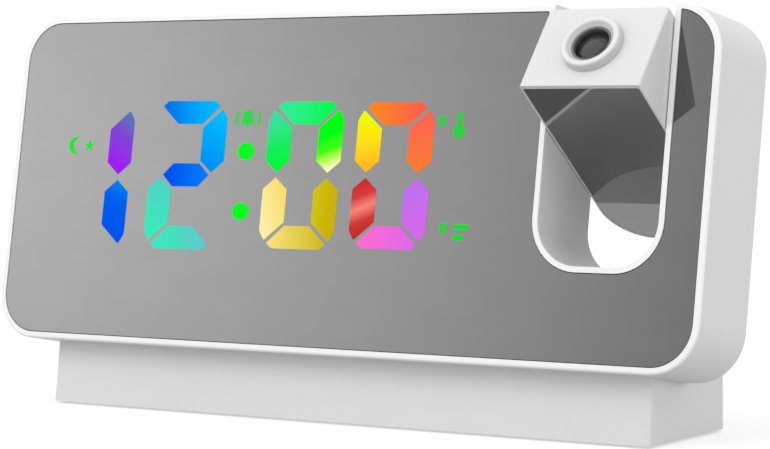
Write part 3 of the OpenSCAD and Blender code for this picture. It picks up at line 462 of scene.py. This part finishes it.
# Finishes of nodes that differ from their material's own
nodeFinishes = {
    # Painted highlight: the housing's front rim, 0.35 mm deep, is lighter than the rest of the white shell
    "housing": plasticWithPaintedRim(
        "housingPlastic", shellWhite, 0.42, housingFrame.translation, deepLean, paintedRimHighlight
    ),
    # Painted shade: the arm case's front rim beside its mirror is a little darker than the white shell
    "arm_case": plasticWithPaintedRim(
        "armPlastic", shellWhite, 0.42, firstPoint("arm_case", behindArm), behindArm, paintedArmRimShade
    ),
    # The ring's darker grey paints shade on its wall, and its crest is lighter as a painted highlight
    "focus_ring": plasticWithPaintedRim(
        "ringPlastic", buttonGrey, 0.38, firstPoint("focus_ring", -alongArm), -alongArm, paintedCrestHighlight
    ),
    # Painted light at the lens cell's mouth, fading to painted shade deeper in its bore
    "lens_cell": plasticWithPaintedRim(
        "cellPlastic", grey(0.02), 0.5, firstPoint("lens_cell", -alongArm), -alongArm, paintedCellMouthLight
    ),
    # Painted light: a lighter square on the lens glass for the slide's lit window
    "projection_lens": glassWithPaintedWindow("coatedGlassWithPaintedWindow"),
}


def finishNodes():
    slots = {part["node"]: part["material_slot"] for part in frame["record"]["subparts"]}
    for name, part in nodes.items():
        finish = nodeFinishes.get(name) or finishes[slots[name]]
        if not part.material_slots:
            part.data.materials.append(finish)
        for slot in part.material_slots:
            slot.material = finish


finishNodes()
print("finishes on", len(nodes), "nodes")


# Flat shapes as outlines of (across, up) points, in millimetres


def arc(centre, radius, start, end, steps=10):
    turns = [math.radians(start + (end - start) * i / steps) for i in range(steps + 1)]
    return [(centre[0] + radius * math.cos(t), centre[1] + radius * math.sin(t)) for t in turns]


def circle(centre, radius, steps=32):
    return arc(centre, radius, 0, 360 - 360 / steps, steps - 1)


def flipped(outline, acrossToo=False, upToo=False):
    made = [((-x if acrossToo else x), (-z if upToo else z)) for x, z in outline]
    return made[::-1] if acrossToo != upToo else made


def shifted(outline, across, up):
    return [(x + across, z + up) for x, z in outline]


# Each corner comes with its own radius, and a radius of 0 stays sharp
def softened(corners, steps=6):
    most = 0.45    # share of a side that one corner may take
    made = []
    for i, (x, z, radius) in enumerate(corners):
        if not radius:
            made.append((x, z))
            continue
        here = Vector((x, z))
        before = Vector(corners[i - 1][:2]) - here
        after = Vector(corners[(i + 1) % len(corners)][:2]) - here
        reach = radius / math.tan(before.angle(after) / 2)
        reach = min(reach, before.length * most, after.length * most)
        start = here + before.normalized() * reach
        end = here + after.normalized() * reach
        for step in range(steps + 1):
            t = step / steps
            point = start * (1 - t) ** 2 + here * 2 * t * (1 - t) + end * t ** 2
            made.append((point.x, point.y))
    return made


def bar(x, z, width, height, radius=0.25):
    w, h = width / 2, height / 2
    corners = [(x - w, z - h), (x + w, z - h), (x + w, z + h), (x - w, z + h)]
    return softened([(*corner, radius) for corner in corners], 3)


# New points of an outline, at a depth behind the housing's front rim
def outlineAt(mesh, outline, deep):
    return [mesh.verts.new(housingFrame @ Vector((x * mm, deep * mm, z * mm))) for x, z in outline]


# Adds a plate to the mesh, between two depths
def addPlate(mesh, outline, nearDeep, farDeep, finishIndex=0):
    near, far = (outlineAt(mesh, outline, deep) for deep in (nearDeep, farDeep))
    faces = [mesh.faces.new(near), mesh.faces.new(far[::-1])]
    count = len(outline)
    for i in range(count):
        j = (i + 1) % count
        faces.append(mesh.faces.new((near[j], near[i], far[i], far[j])))
    for face in faces:
        face.material_index = finishIndex


# A closed band between two outlines with the same number of points
def addBand(mesh, outer, inner, nearDeep, farDeep, finishIndex=0):
    corners = ((outer, nearDeep), (outer, farDeep), (inner, farDeep), (inner, nearDeep))
    loops = [outlineAt(mesh, outline, deep) for outline, deep in corners]
    count = len(outer)
    for first, second in zip(loops, loops[1:] + loops[:1]):
        for i in range(count):
            j = (i + 1) % count
            face = mesh.faces.new((first[i], first[j], second[j], second[i]))
            face.material_index = finishIndex


def finishedPiece(name, mesh, finishList, body, smoothAngle=None):
    bmesh.ops.recalc_face_normals(mesh, faces=mesh.faces)
    data = bpy.data.meshes.new(name)
    mesh.to_mesh(data)
    mesh.free()
    for finish in finishList:
        data.materials.append(finish)
    piece = bpy.data.objects.new(name, data)
    scene.collection.objects.link(piece)
    if smoothAngle is not None:
        for polygon in data.polygons:
            polygon.use_smooth = True
        data.set_sharp_from_angle(angle=math.radians(smoothAngle))
    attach(piece, body)
    return piece


# Lit display: thin glowing plates on the mirror's face, one gradient for each segment

display = {
    "middle": (-21, 39.7),      # from the middle of the housing's front lower edge
    "digitPlaces": (-48.2, -20.5, 12.6, 37),
    "digitScales": (1.04, 1.02, 0.985, 0.96),    # a little smaller to the right
    "digitRises": (0, 0.45, 0.2, 0),
    "halfWidth": 10.55,
    "halfHeight": 17,
    "uprightWidth": 6.75,
    "levelHeight": 5.3,
    "proud": 0.05,
}
litDepths = (housing["mirrorDeep"] / mm - display["proud"], housing["mirrorDeep"] / mm)

# Corners of the three kinds of segment, measured from the digit's sides, top and middle line
levelShape = {
    "clear": 0.3,       # from the uprights
    "tipIn": 2.3,
    "tipDrop": 1.2,
    "tipSlant": 1.5,
    "tipRound": 0.3,
    "topRound": 1.8,
}
uprightShape = {
    "footUp": 0.62,     # over the digit's middle line
    "footTall": 2.7,
    "footRound": 0.2,
    "shoulderDrop": 4.1,
    "shoulderRound": 2.5,
    "headIn": 1.5,
    "headDrop": 1.85,
    "headRound": 0.4,
    "innerDrop": 0.8,   # under the level segment
}
middleShape = {
    "clear": 0.6,
    "tipLong": 2.9,
    "round": 0.2,
}


def levelSegment():
    top, tip = display["halfHeight"], display["halfWidth"] - levelShape["tipIn"]
    low = display["halfWidth"] - display["uprightWidth"] - levelShape["clear"]
    under = top - display["levelHeight"]
    tipTop, slant = top - levelShape["tipDrop"], levelShape["tipSlant"]
    tipRound, topRound = levelShape["tipRound"], levelShape["topRound"]
    return softened([
        (low, under, 0), (tip, tipTop, tipRound), (tip - slant, top, topRound),
        (slant - tip, top, topRound), (-tip, tipTop, tipRound), (-low, under, 0),
    ])


def uprightSegment():
    side, top = display["halfWidth"], display["halfHeight"]
    inner, foot = side - display["uprightWidth"], uprightShape["footUp"]
    ankle = foot + uprightShape["footTall"]
    innerTop = top - display["levelHeight"] - uprightShape["innerDrop"]
    return softened([
        (side - display["uprightWidth"] / 2, foot, 0),
        (side, ankle, uprightShape["footRound"]),
        (side, top - uprightShape["shoulderDrop"], uprightShape["shoulderRound"]),
        (side - uprightShape["headIn"], top - uprightShape["headDrop"], uprightShape["headRound"]),
        (inner, innerTop, 0),
        (inner, ankle, uprightShape["footRound"]),
    ])


def middleSegment():
    tip = display["halfWidth"] - display["uprightWidth"] / 2 - middleShape["clear"]
    side, half = tip - middleShape["tipLong"], display["levelHeight"] / 2
    soft = middleShape["round"]
    return softened([
        (-tip, 0, 0), (-side, -half, soft), (side, -half, soft),
        (tip, 0, 0), (side, half, soft), (-side, half, soft),
    ])


segmentShapes = {
    "top": levelSegment(),
    "bottom": flipped(levelSegment(), upToo=True),
    "middle": middleSegment(),
    "upperRight": uprightSegment(),
    "upperLeft": flipped(uprightSegment(), acrossToo=True),
    "lowerRight": flipped(uprightSegment(), upToo=True),
    "lowerLeft": flipped(uprightSegment(), True, True),
}

# Light of each segment: direction of its gradient in degrees, then colours along it
segmentLights = {
    "hourTens": {
        "upperRight": (60, [(0.15, (160, 30, 245)), (0.6, (125, 70, 215)), (0.95, (92, 116, 188))]),
        "lowerRight": (70, [(0.1, (0, 84, 238)), (0.7, (0, 96, 240)), (1, (0, 134, 236))]),
    },
    "hourUnits": {
        "top": (10, [(0.1, (0, 118, 236)), (0.5, (0, 158, 252)), (0.95, (0, 188, 255))]),
        "upperRight": (65, [(0.1, (0, 146, 246)), (0.9, (0, 190, 255))]),
        "middle": (5, [(0.15, (0, 84, 240)), (0.9, (0, 122, 250))]),
        "lowerLeft": (80, [(0.1, (56, 238, 186)), (0.9, (78, 214, 196))]),
        "bottom": (5, [(0.1, (60, 234, 188)), (0.5, (76, 220, 192)), (0.95, (98, 200, 206))]),
    },
    "minuteTens": {
        "top": (-15, [(0.1, (52, 236, 152)), (0.9, (4, 250, 78))]),
        "upperLeft": (-75, [(0.1, (62, 222, 164)), (0.6, (20, 240, 90)), (1, (0, 252, 44))]),
        "upperRight": (-70, [
            (0.35, (0, 255, 20)), (0.62, (60, 255, 20)),
            (0.75, (170, 255, 70)), (0.95, (255, 255, 190)),
        ]),
        "lowerLeft": (20, [(0.1, (255, 240, 168)), (0.5, (252, 232, 140)), (0.9, (250, 222, 112))]),
        "bottom": (5, [(0.05, (248, 228, 120)), (0.6, (226, 204, 70)), (0.95, (208, 186, 34))]),
        "lowerRight": (0, [(0.1, (212, 194, 22)), (0.6, (204, 182, 8)), (1, (200, 176, 20))]),
    },
    "minuteUnits": {
        "top": (5, [(0.1, (255, 134, 30)), (0.9, (255, 98, 72))]),
        "upperLeft": (-80, [(0.1, (238, 255, 0)), (0.5, (255, 226, 20)), (0.95, (255, 184, 34))]),
        "upperRight": (-85, [(0.1, (255, 100, 84)), (0.9, (255, 124, 48))]),
        "lowerLeft": (-70, [
            (0.05, (206, 44, 48)), (0.3, (214, 64, 62)), (0.5, (252, 132, 122)),
            (0.72, (206, 60, 56)), (0.95, (196, 44, 40)),
        ]),
        "bottom": (5, [(0.1, (255, 108, 208)), (0.9, (226, 104, 236))]),
        "lowerRight": (-60, [(0.1, (192, 112, 240)), (0.9, (216, 106, 234))]),
    },
}
glowSkin = {
    "grain": 2400,
    "strength": (0.97, 1.0),
    "roughness": 0.8,
}


# Linear level of a channel that is written as a screen shows it, from 0 to 255
def lightLevel(channel):
    share = channel / 255
    return share / 12.92 if channel < 11 else ((share + 0.055) / 1.055) ** 2.4


# Glow that runs through its colours across the given outline
def glow(name, outline, direction, stops):
    finish, tree, shader = newFinish(name)
    turn = math.radians(direction)
    along = Vector((math.cos(turn), math.sin(turn)))
    reach = [along.dot(Vector(point)) for point in outline]
    heading = housingFrame.to_3x3() @ Vector((along.x, 0, along.y))
    start = housingFrame.translation + heading * (min(reach) * mm)
    level = pastPlane(tree, start, heading / ((max(reach) - min(reach)) * mm))
    lights = [(where, [lightLevel(channel) for channel in tone]) for where, tone in stops]
    tree.links.new(shades(tree, level, lights), shader.inputs["Emission Color"])
    grain = noise(tree, glowSkin["grain"])
    strength = spread(tree, grain, *glowSkin["strength"])
    tree.links.new(strength, shader.inputs["Emission Strength"])
    shader.inputs["Base Color"].default_value = (0, 0, 0, 1)
    shader.inputs["Specular IOR Level"].default_value = 0
    shader.inputs["Roughness"].default_value = glowSkin["roughness"]
    return finish


def litPiece(name, mesh, glows):
    finishedPiece(name, mesh, glows, "clock_body")


def makeDigits():
    x0, z0 = display["middle"]
    half = display["halfHeight"]
    for place, scale, rise, (digitName, lights) in zip(
        display["digitPlaces"], display["digitScales"], display["digitRises"], segmentLights.items()
    ):
        mesh = bmesh.new()
        glows = []
        for segment, (direction, stops) in lights.items():
            shape = [(x * scale, half + (z - half) * scale) for x, z in segmentShapes[segment]]
            outline = shifted(shape, x0 + place, z0 + rise)
            addPlate(mesh, outline, *litDepths, len(glows))
            glows.append(glow(digitName + "_" + segment, outline, direction, stops))
        litPiece("lit_" + digitName, mesh, glows)


makeDigits()


# Colon and signs in one green each, a shade lower to the right of the housing's middle

signFade = {"span": 10, "shade": 0.97}


def litSign(name, mesh, glowName, tone):
    across = [(0, 0), (signFade["span"], 0)]
    stops = [(0.2, tone), (0.8, scaled(tone, signFade["shade"]))]
    litPiece(name, mesh, [glow(glowName, across, 0, stops)])


colon = {
    "tone": (12, 252, 32),
    "place": (-3.65, -1.15),    # from the display's middle
    "rise": 6.9,
    "radii": (2.35, 2),
}


def makeColon():
    mesh = bmesh.new()
    x0, z0 = display["middle"]
    across, up = colon["place"]
    wide, tall = colon["radii"]
    dot = [(x * wide, z * tall) for x, z in circle((0, 0), 1)]
    for rise in (-colon["rise"], colon["rise"]):
        addPlate(mesh, shifted(dot, x0 + across, z0 + up + rise), *litDepths)
    litSign("lit_colon", mesh, "colonGlow", colon["tone"])


# Evening sign: a moon and a star

eveningSign = {
    "tone": (38, 232, 60),
    "moonPlace": (-75.6, 46.5),
    "moonRadius": 2.1,
    "hornTurn": 60,             # degrees from the moon's open side to its horns
    "biteTurn": 88,
    "biteShift": 0.55,          # shares of the moon's radius
    "biteRadius": 0.87,
    "starPlace": (-71.4, 46.5),
    "starRadii": (1.6, 0.66),
    "starPoints": 5,
}


def crescent(centre, radius):
    horn, bite = eveningSign["hornTurn"], eveningSign["biteTurn"]
    biteCentre = (centre[0] + radius * eveningSign["biteShift"], centre[1])
    outer = arc(centre, radius, horn, 360 - horn, 20)
    inner = arc(biteCentre, radius * eveningSign["biteRadius"], 360 - bite, bite, 20)
    return outer + inner


def star(centre, radii, points):
    made = []
    for i, radius in enumerate(radii * points):
        turn = math.radians(90 + 180 / points * i)
        made.append((centre[0] + radius * math.cos(turn), centre[1] + radius * math.sin(turn)))
    return made


def makeEveningSign():
    mesh = bmesh.new()
    moon = crescent(eveningSign["moonPlace"], eveningSign["moonRadius"])
    addPlate(mesh, moon, *litDepths)
    shape = star(eveningSign["starPlace"], eveningSign["starRadii"], eveningSign["starPoints"])
    addPlate(mesh, shape, *litDepths)
    litSign("lit_evening_sign", mesh, "eveningGlow", eveningSign["tone"])


# Alarm sign: a bell with its clapper, between two sound arcs

alarmSign = {
    "tone": (54, 218, 76),
    "place": (-25, 53.1),
    "bellSize": 4.2,
    "bellSide": [(1, -0.62), (0.72, -0.3), (0.66, 0.3)],    # shares of half the size
    "domeStart": 20,
    "clapperPlace": (-25, 51.35),
    "clapperRadius": 0.5,
    "soundRadii": (3.6, 3.0),
    "soundTurn": 28,
}


def bell(centre, size):
    half = size / 2
    side = [(x * half, z * half) for x, z in alarmSign["bellSide"]]
    wide, rise = side[-1]
    dome = arc((0, rise), wide, alarmSign["domeStart"], 180 - alarmSign["domeStart"])
    return shifted(side + dome + flipped(side, acrossToo=True), *centre)


def makeAlarmSign():
    mesh = bmesh.new()
    centre, turn = alarmSign["place"], alarmSign["soundTurn"]
    far, near = alarmSign["soundRadii"]
    addPlate(mesh, bell(centre, alarmSign["bellSize"]), *litDepths)
    clapper = circle(alarmSign["clapperPlace"], alarmSign["clapperRadius"], 12)
    addPlate(mesh, clapper, *litDepths)
    for side in (0, 180):
        outer = arc(centre, far, side - turn, side + turn, 8)
        inner = arc(centre, near, side + turn, side - turn, 8)
        addPlate(mesh, outer + inner, *litDepths)
    litSign("lit_alarm_sign", mesh, "alarmGlow", alarmSign["tone"])


# Two scale signs: a ring with a thermometer, and a ring with two short bars

upperScale = {
    "tone": (46, 218, 64),
    "ringPlace": (28.1, 52.6),
    "stem": (32.6, 52.3, 1.3, 4.4, 0.6),    # place, width, height and corner radius
    "bulbPlace": (32.6, 50.2),
    "bulbRadius": 1.5,
}
lowerScale = {
    "tone": (32, 226, 50),
    "ringPlace": (30.6, 29.1),
    "bars": ((35.2, 29.4, 3.8, 1.2), (34.6, 27.1, 2.6, 1.2)),
}
scaleRing = {"radii": (1.15, 0.45), "sides": 20}


def addScaleRing(mesh, centre):
    outer, inner = (circle(centre, radius, scaleRing["sides"]) for radius in scaleRing["radii"])
    addBand(mesh, outer, inner, *litDepths)


def makeScaleSigns():
    mesh = bmesh.new()
    addScaleRing(mesh, upperScale["ringPlace"])
    addPlate(mesh, bar(*upperScale["stem"]), *litDepths)
    addPlate(mesh, circle(upperScale["bulbPlace"], upperScale["bulbRadius"], 24), *litDepths)
    litSign("lit_scale_sign_upper", mesh, "upperScaleGlow", upperScale["tone"])
    mesh = bmesh.new()
    addScaleRing(mesh, lowerScale["ringPlace"])
    for shape in lowerScale["bars"]:
        addPlate(mesh, bar(*shape), *litDepths)
    litSign("lit_scale_sign_lower", mesh, "lowerScaleGlow", lowerScale["tone"])


makeColon()
makeEveningSign()
makeAlarmSign()
makeScaleSigns()
print("display lit")


# Screws with a crossed recess and a thread, each on its CAD screw's own axis

coverScrew = {
    "headRadius": 1.9,
    "headTall": 1.1,
    "headEdge": ((0.74, 0), (0.88, 0.06), (0.97, 0.18), (1, 0.34)),    # radius shares, drops
    "shankRadius": 1,
    "threadPitch": 0.8,
    "threadDeep": 0.16,
    "threadStart": 0.4,
    "threadStop": 1,
    "tipTall": 0.7,
    "tipShares": (0.8, 0.3),
    "recessReach": 1.05,
    "recessHalf": 0.27,
    "recessDeep": 0.7,
    "recessTaper": 0.7,
    "sides": 28,
    "smooth": 35,
}
doorScrew = {
    **coverScrew, "headRadius": 1.6, "headTall": 0.6, "recessReach": 0.9, "recessDeep": 0.45,
}
armScrew = {
    **coverScrew, "headRadius": 1.5, "headTall": 0.8, "shankRadius": 0.8, "threadPitch": 0.6,
    "threadDeep": 0.12, "recessReach": 0.85, "recessHalf": 0.22, "recessDeep": 0.5,
}
screwTurns = {"first": 17, "next": 41}    # degrees that the crosses are turned
weldReach = 0.001 * mm                    # points closer than this are one


# The separate solids of a node, as lists of points
def solidsOf(name):
    mesh = bmesh.new()
    mesh.from_mesh(nodes[name].data)
    bmesh.ops.remove_doubles(mesh, verts=mesh.verts, dist=weldReach)
    mesh.verts.ensure_lookup_table()
    waiting = {v.index for v in mesh.verts}
    solids = []
    while waiting:
        reached = [min(waiting)]
        waiting.discard(reached[0])
        for index in reached:
            for edge in mesh.verts[index].link_edges:
                other = edge.other_vert(mesh.verts[index]).index
                if other in waiting:
                    waiting.discard(other)
                    reached.append(other)
        solids.append([mesh.verts[index].co.copy() for index in reached])
    mesh.free()
    return solids


# Where a screw's head ends, and how long the screw is, from its solid
def screwSeat(points, out):
    reach = [point.dot(out) for point in points]
    middle = Vector()
    for axis in (sideways, out.cross(sideways)):
        along = [point.dot(axis) for point in points]
        middle += axis * (min(along) + max(along)) / 2
    return middle + out * max(reach), (max(reach) - min(reach)) / mm


# New points of an outline, across a screw's axis
def screwOutline(mesh, place, outline, z):
    return [mesh.verts.new(place @ Vector((x * mm, y * mm, z * mm))) for x, y in outline]


def joinRings(mesh, upper, lower):
    for i in range(len(upper)):
        j = (i + 1) % len(upper)
        mesh.faces.new((upper[i], lower[i], lower[j], upper[j]))


def edgesOf(mesh, loop):
    pairs = zip(loop, loop[1:] + loop[:1])
    return [mesh.edges.get(pair) or mesh.edges.new(pair) for pair in pairs]


# Radii of a screw from the top of its head down to its tip
def screwProfile(kind, length):
    head, shank = kind["headRadius"], kind["shankRadius"]
    profile = [(head * share, -drop) for share, drop in kind["headEdge"]]
    profile += [(head, -kind["headTall"]), (shank, -kind["headTall"])]
    z = -kind["headTall"] - kind["threadStart"]
    while z > -length + kind["threadStop"]:
        profile += [(shank, z), (shank - kind["threadDeep"], z - kind["threadPitch"] / 2)]
        z -= kind["threadPitch"]
    blunt, point = kind["tipShares"]
    return profile + [(shank * blunt, kind["tipTall"] - length), (shank * point, -length)]


def addScrew(mesh, kind, place, length):
    rings = [
        screwOutline(mesh, place, circle((0, 0), radius, kind["sides"]), z)
        for radius, z in screwProfile(kind, length)
    ]
    for upper, lower in zip(rings, rings[1:]):
        joinRings(mesh, upper, lower)
    mesh.faces.new(rings[-1][::-1])

    reach, half = kind["recessReach"], kind["recessHalf"]
    cross = [(reach, -half), (reach, half), (half, half)]
    cross += [(half, reach), (-half, reach), (-half, half)]
    cross += [(-x, -y) for x, y in cross]
    narrow = [scaled(corner, kind["recessTaper"]) for corner in cross]
    mouth = screwOutline(mesh, place, cross, 0)
    floor = screwOutline(mesh, place, narrow, -kind["recessDeep"])
    joinRings(mesh, mouth, floor)
    mesh.faces.new(floor)
    rims = edgesOf(mesh, rings[0]) + edgesOf(mesh, mouth)
    bmesh.ops.triangle_fill(mesh, use_beauty=True, edges=rims)


def makeScrews(name, node, kind, out, body):
    mesh = bmesh.new()
    for i, points in enumerate(solidsOf(node)):
        seat, length = screwSeat(points, out)
        turn = math.radians(screwTurns["first"] + screwTurns["next"] * i)
        place = axesFrame(seat, sideways, out.cross(sideways), out) @ Matrix.Rotation(turn, 4, "Z")
        addScrew(mesh, kind, place, length)
    piece = finishedPiece(name, mesh, [finishes["steel"]], body, kind["smooth"])
    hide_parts(node)


makeScrews("coverScrewSet", "cover_screws", coverScrew, deepLean, "clock_body")
makeScrews("doorScrew", "battery_door_screw", doorScrew, deepLean, "clock_body")
makeScrews("plateScrewSet", "base_plate_screws", coverScrew, Vector((0, 0, -1)), "clock_body")
makeScrews("armScrewSet", "arm_back_screws", armScrew, behindArm, "projector_arm")
print("screws in")


# Lowest and highest corners of a node in the housing's own axes, in millimetres
def housingBox(name):
    back = housingFrame.inverted()
    points = [back @ v.co / mm for v in nodes[name].data.vertices]
    return tuple(
        tuple(end(point[i] for point in points) for i in range(3)) for end in (min, max)
    )


# Outlet at the back: a steel shell with a black tongue and gold contacts

outlet = {
    "shellWall": 0.3,
    "shellRound": 0.7,
    "blockSink": 0.2,
    "deep": 9,
    "tongue": (11.6, 1.84),
    "tongueRise": 1,
    "tongueShort": 0.6,
    "tongueRound": 0.3,
    "contacts": (-3.5, -1, 1, 3.5),
    "contactWide": 1,
    "contactThick": 0.1,
    "contactRound": 0.02,
    "contactShort": 0.6,
    "smooth": 30,
}
contactGold = brushedMetal("contactGold", (0.85, 0.62, 0.28), 0.25)


def makeOutlet():
    (x0, near, z0), (x1, far, z1) = housingBox("charging_outlet")
    x, z, wide, tall = (x0 + x1) / 2, (z0 + z1) / 2, x1 - x0, z1 - z0
    wall, floor = outlet["shellWall"], far - outlet["deep"]
    mesh = bmesh.new()
    outer = bar(x, z, wide, tall, outlet["shellRound"])
    inner = bar(x, z, wide - 2 * wall, tall - 2 * wall, outlet["shellRound"] - wall)
    addBand(mesh, outer, inner, near, far)
    addPlate(mesh, inner, near + outlet["blockSink"], floor, 1)

    rise, end = z + outlet["tongueRise"], far - outlet["tongueShort"]
    addPlate(mesh, bar(x, rise, *outlet["tongue"], outlet["tongueRound"]), floor, end, 1)
    thick = outlet["contactThick"]
    under = rise - outlet["tongue"][1] / 2 - thick / 2
    for place in outlet["contacts"]:
        strip = bar(x + place, under, outlet["contactWide"], thick, outlet["contactRound"])
        addPlate(mesh, strip, floor, end - outlet["contactShort"], 2)
    looks = [finishes["steel"], finishes["black_plastic"], contactGold]
    piece = finishedPiece("chargingOutlet", mesh, looks, "clock_body", outlet["smooth"])
    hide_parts("charging_outlet")


# Inlet at the back: a square block with a round nose, a pin and a spring

inlet = {
    "deep": 9.5,
    "bore": 2.75,
    "noseLong": 1.6,
    "edgeStep": 0.25,
    "pin": 1,
    "pinShort": 1,
    "tipLong": 0.4,
    "tipShare": 0.7,
    "springWide": 1.6,
    "springThick": 0.2,
    "springRound": 0.05,
    "springRise": 0.25,
    "springShort": 2.2,
    "sides": 48,
    "pinSides": 24,
    "smooth": 30,
}


# A square outline with its points on the same rays as a circle's
def squareRound(centre, half, sides):
    made = []
    for x, z in circle((0, 0), 1, sides):
        reach = half / max(abs(x), abs(z))
        made.append((centre[0] + x * reach, centre[1] + z * reach))
    return made


def makeInlet():
    (x0, near, z0), (x1, far, z1) = housingBox("power_inlet")
    centre, half = ((x0 + x1) / 2, (z0 + z1) / 2), (x1 - x0) / 2
    sides, step = inlet["sides"], inlet["edgeStep"]
    bore = circle(centre, inlet["bore"], sides)
    block = squareRound(centre, half, sides)
    nose, floor = far - inlet["noseLong"], far - inlet["deep"]
    mesh = bmesh.new()
    addBand(mesh, circle(centre, half, sides), bore, nose, far - step)
    addBand(mesh, circle(centre, half - step, sides), bore, far - step, far)
    addBand(mesh, block, bore, floor, nose)
    addPlate(mesh, block, near, floor)

    pinRadius, pinSides = inlet["pin"], inlet["pinSides"]
    end = far - inlet["pinShort"]
    tip = end - inlet["tipLong"]
    addPlate(mesh, circle(centre, pinRadius, pinSides), floor, tip, 1)
    addPlate(mesh, circle(centre, pinRadius * inlet["tipShare"], pinSides), tip, end, 1)
    low = centre[1] - inlet["bore"] + inlet["springRise"]
    spring = bar(centre[0], low, inlet["springWide"], inlet["springThick"], inlet["springRound"])
    addPlate(mesh, spring, floor, far - inlet["springShort"], 1)
    looks = [finishes["black_plastic"], finishes["steel"]]
    piece = finishedPiece("powerInlet", mesh, looks, "clock_body", inlet["smooth"])
    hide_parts("power_inlet")


makeOutlet()
makeInlet()
print("sockets fitted")


# Studio: pale floor, even white surround and four square lamps, in metres, degrees and watts


# 1 on rays that reach the eye directly, by a mirror or through glass
def cleanRays(tree):
    path = tree.nodes.new("ShaderNodeLightPath")
    seen = path.outputs["Is Camera Ray"]
    for other in ("Is Glossy Ray", "Is Transmission Ray"):
        seen = mathStep(tree, "MAXIMUM", seen, path.outputs[other])
    return seen


ambient = 0.9    # light that the white surround gives


def makeWorld():
    world = bpy.data.worlds.new("studio")
    scene.world = world
    world.use_nodes = True
    tree = world.node_tree
    back = tree.nodes["Background"]
    strength = spread(tree, cleanRays(tree), ambient, 1, 0, 1)
    back.inputs["Color"].default_value = (1, 1, 1, 1)
    tree.links.new(strength, back.inputs["Strength"])


floorPaper = {
    "side": 8,
    "drop": 0.02 * mm,
    "shade": 0.5,
    "fibres": 900,
    "fibreShade": 0.99,
    "lift": 0.56,        # glow that only clean rays see
    "roughness": 0.9,
}


def makeFloor():
    mesh = bpy.data.meshes.new("floor")
    half = floorPaper["side"] / 2
    low = cadLow.z - floorPaper["drop"]
    corners = [(-half, -half, low), (half, -half, low), (half, half, low), (-half, half, low)]
    mesh.from_pydata(corners, [], [(0, 1, 2, 3)])
    floor = bpy.data.objects.new("floor", mesh)
    scene.collection.objects.link(floor)
    finish, tree, shader = newFinish("floorPaper")
    fibres = noise(tree, floorPaper["fibres"], 3)
    dark = grey(floorPaper["shade"] * floorPaper["fibreShade"])
    colourBy(tree, shader, fibres, [(0.3, dark), (0.7, grey(floorPaper["shade"]))])
    lift = mathStep(tree, "MULTIPLY", cleanRays(tree), floorPaper["lift"])
    shader.inputs["Emission Color"].default_value = (1, 1, 1, 1)
    tree.links.new(lift, shader.inputs["Emission Strength"])
    shader.inputs["Roughness"].default_value = floorPaper["roughness"]
    shader.inputs["Specular IOR Level"].default_value = 0
    mesh.materials.append(finish)


# A soft lamp with a narrow spread, at the front left
softbox = {
    "turn": 36,
    "aim": 45,
    "rise": 13.6,
    "far": 2.0,
    "side": 1.5,
    "spread": 32.5,
    "power": 0.42,
}

# The other lamps, aimed at the middle of the clock
lamps = {
    "keyLamp": {"place": (-0.12, -1.2, 1.02), "side": 0.8, "power": 5.5, "inMirror": False},
    "fillPanel": {"place": (-2.6, -3.2, 0.9), "side": 5, "power": 20, "inMirror": True},
    "sideLamp": {"place": (2.2, -0.4, 0.4), "side": 1, "power": 8, "inMirror": False},
}
lampAim = Vector((0, 0, 0.05))


def aimed(place, target):
    back = (place - target).normalized()
    return Matrix.Translation(place) @ back.to_track_quat("Z", "Y").to_matrix().to_4x4()


def makeLamp(name, place, target, side, power, inMirror=True, spreadAngle=180):
    lamp = bpy.data.lights.new(name, "AREA")
    lamp.shape = "SQUARE"
    lamp.size = side
    lamp.energy = power
    lamp.spread = math.radians(spreadAngle)
    holder = bpy.data.objects.new(name, lamp)
    holder.matrix_world = aimed(place, target)
    holder.visible_glossy = inMirror
    scene.collection.objects.link(holder)


# Direction out from the clock: turned left from straight in front, and raised
def outward(turn, rise):
    turn, rise = math.radians(turn), math.radians(rise)
    return Vector((
        -math.sin(turn) * math.cos(rise), -math.cos(turn) * math.cos(rise), math.sin(rise)
    ))


def makeLamps():
    place = lampAim + outward(softbox["turn"], softbox["rise"]) * softbox["far"]
    target = place - outward(softbox["aim"], softbox["rise"])
    makeLamp(
        "frontSoftbox", place, target, softbox["side"], softbox["power"],
        spreadAngle=softbox["spread"],
    )
    for name, lamp in lamps.items():
        place = Vector(lamp["place"])
        makeLamp(name, place, lampAim, lamp["side"], lamp["power"], lamp["inMirror"])


makeWorld()
makeFloor()
makeLamps()
print("studio set")
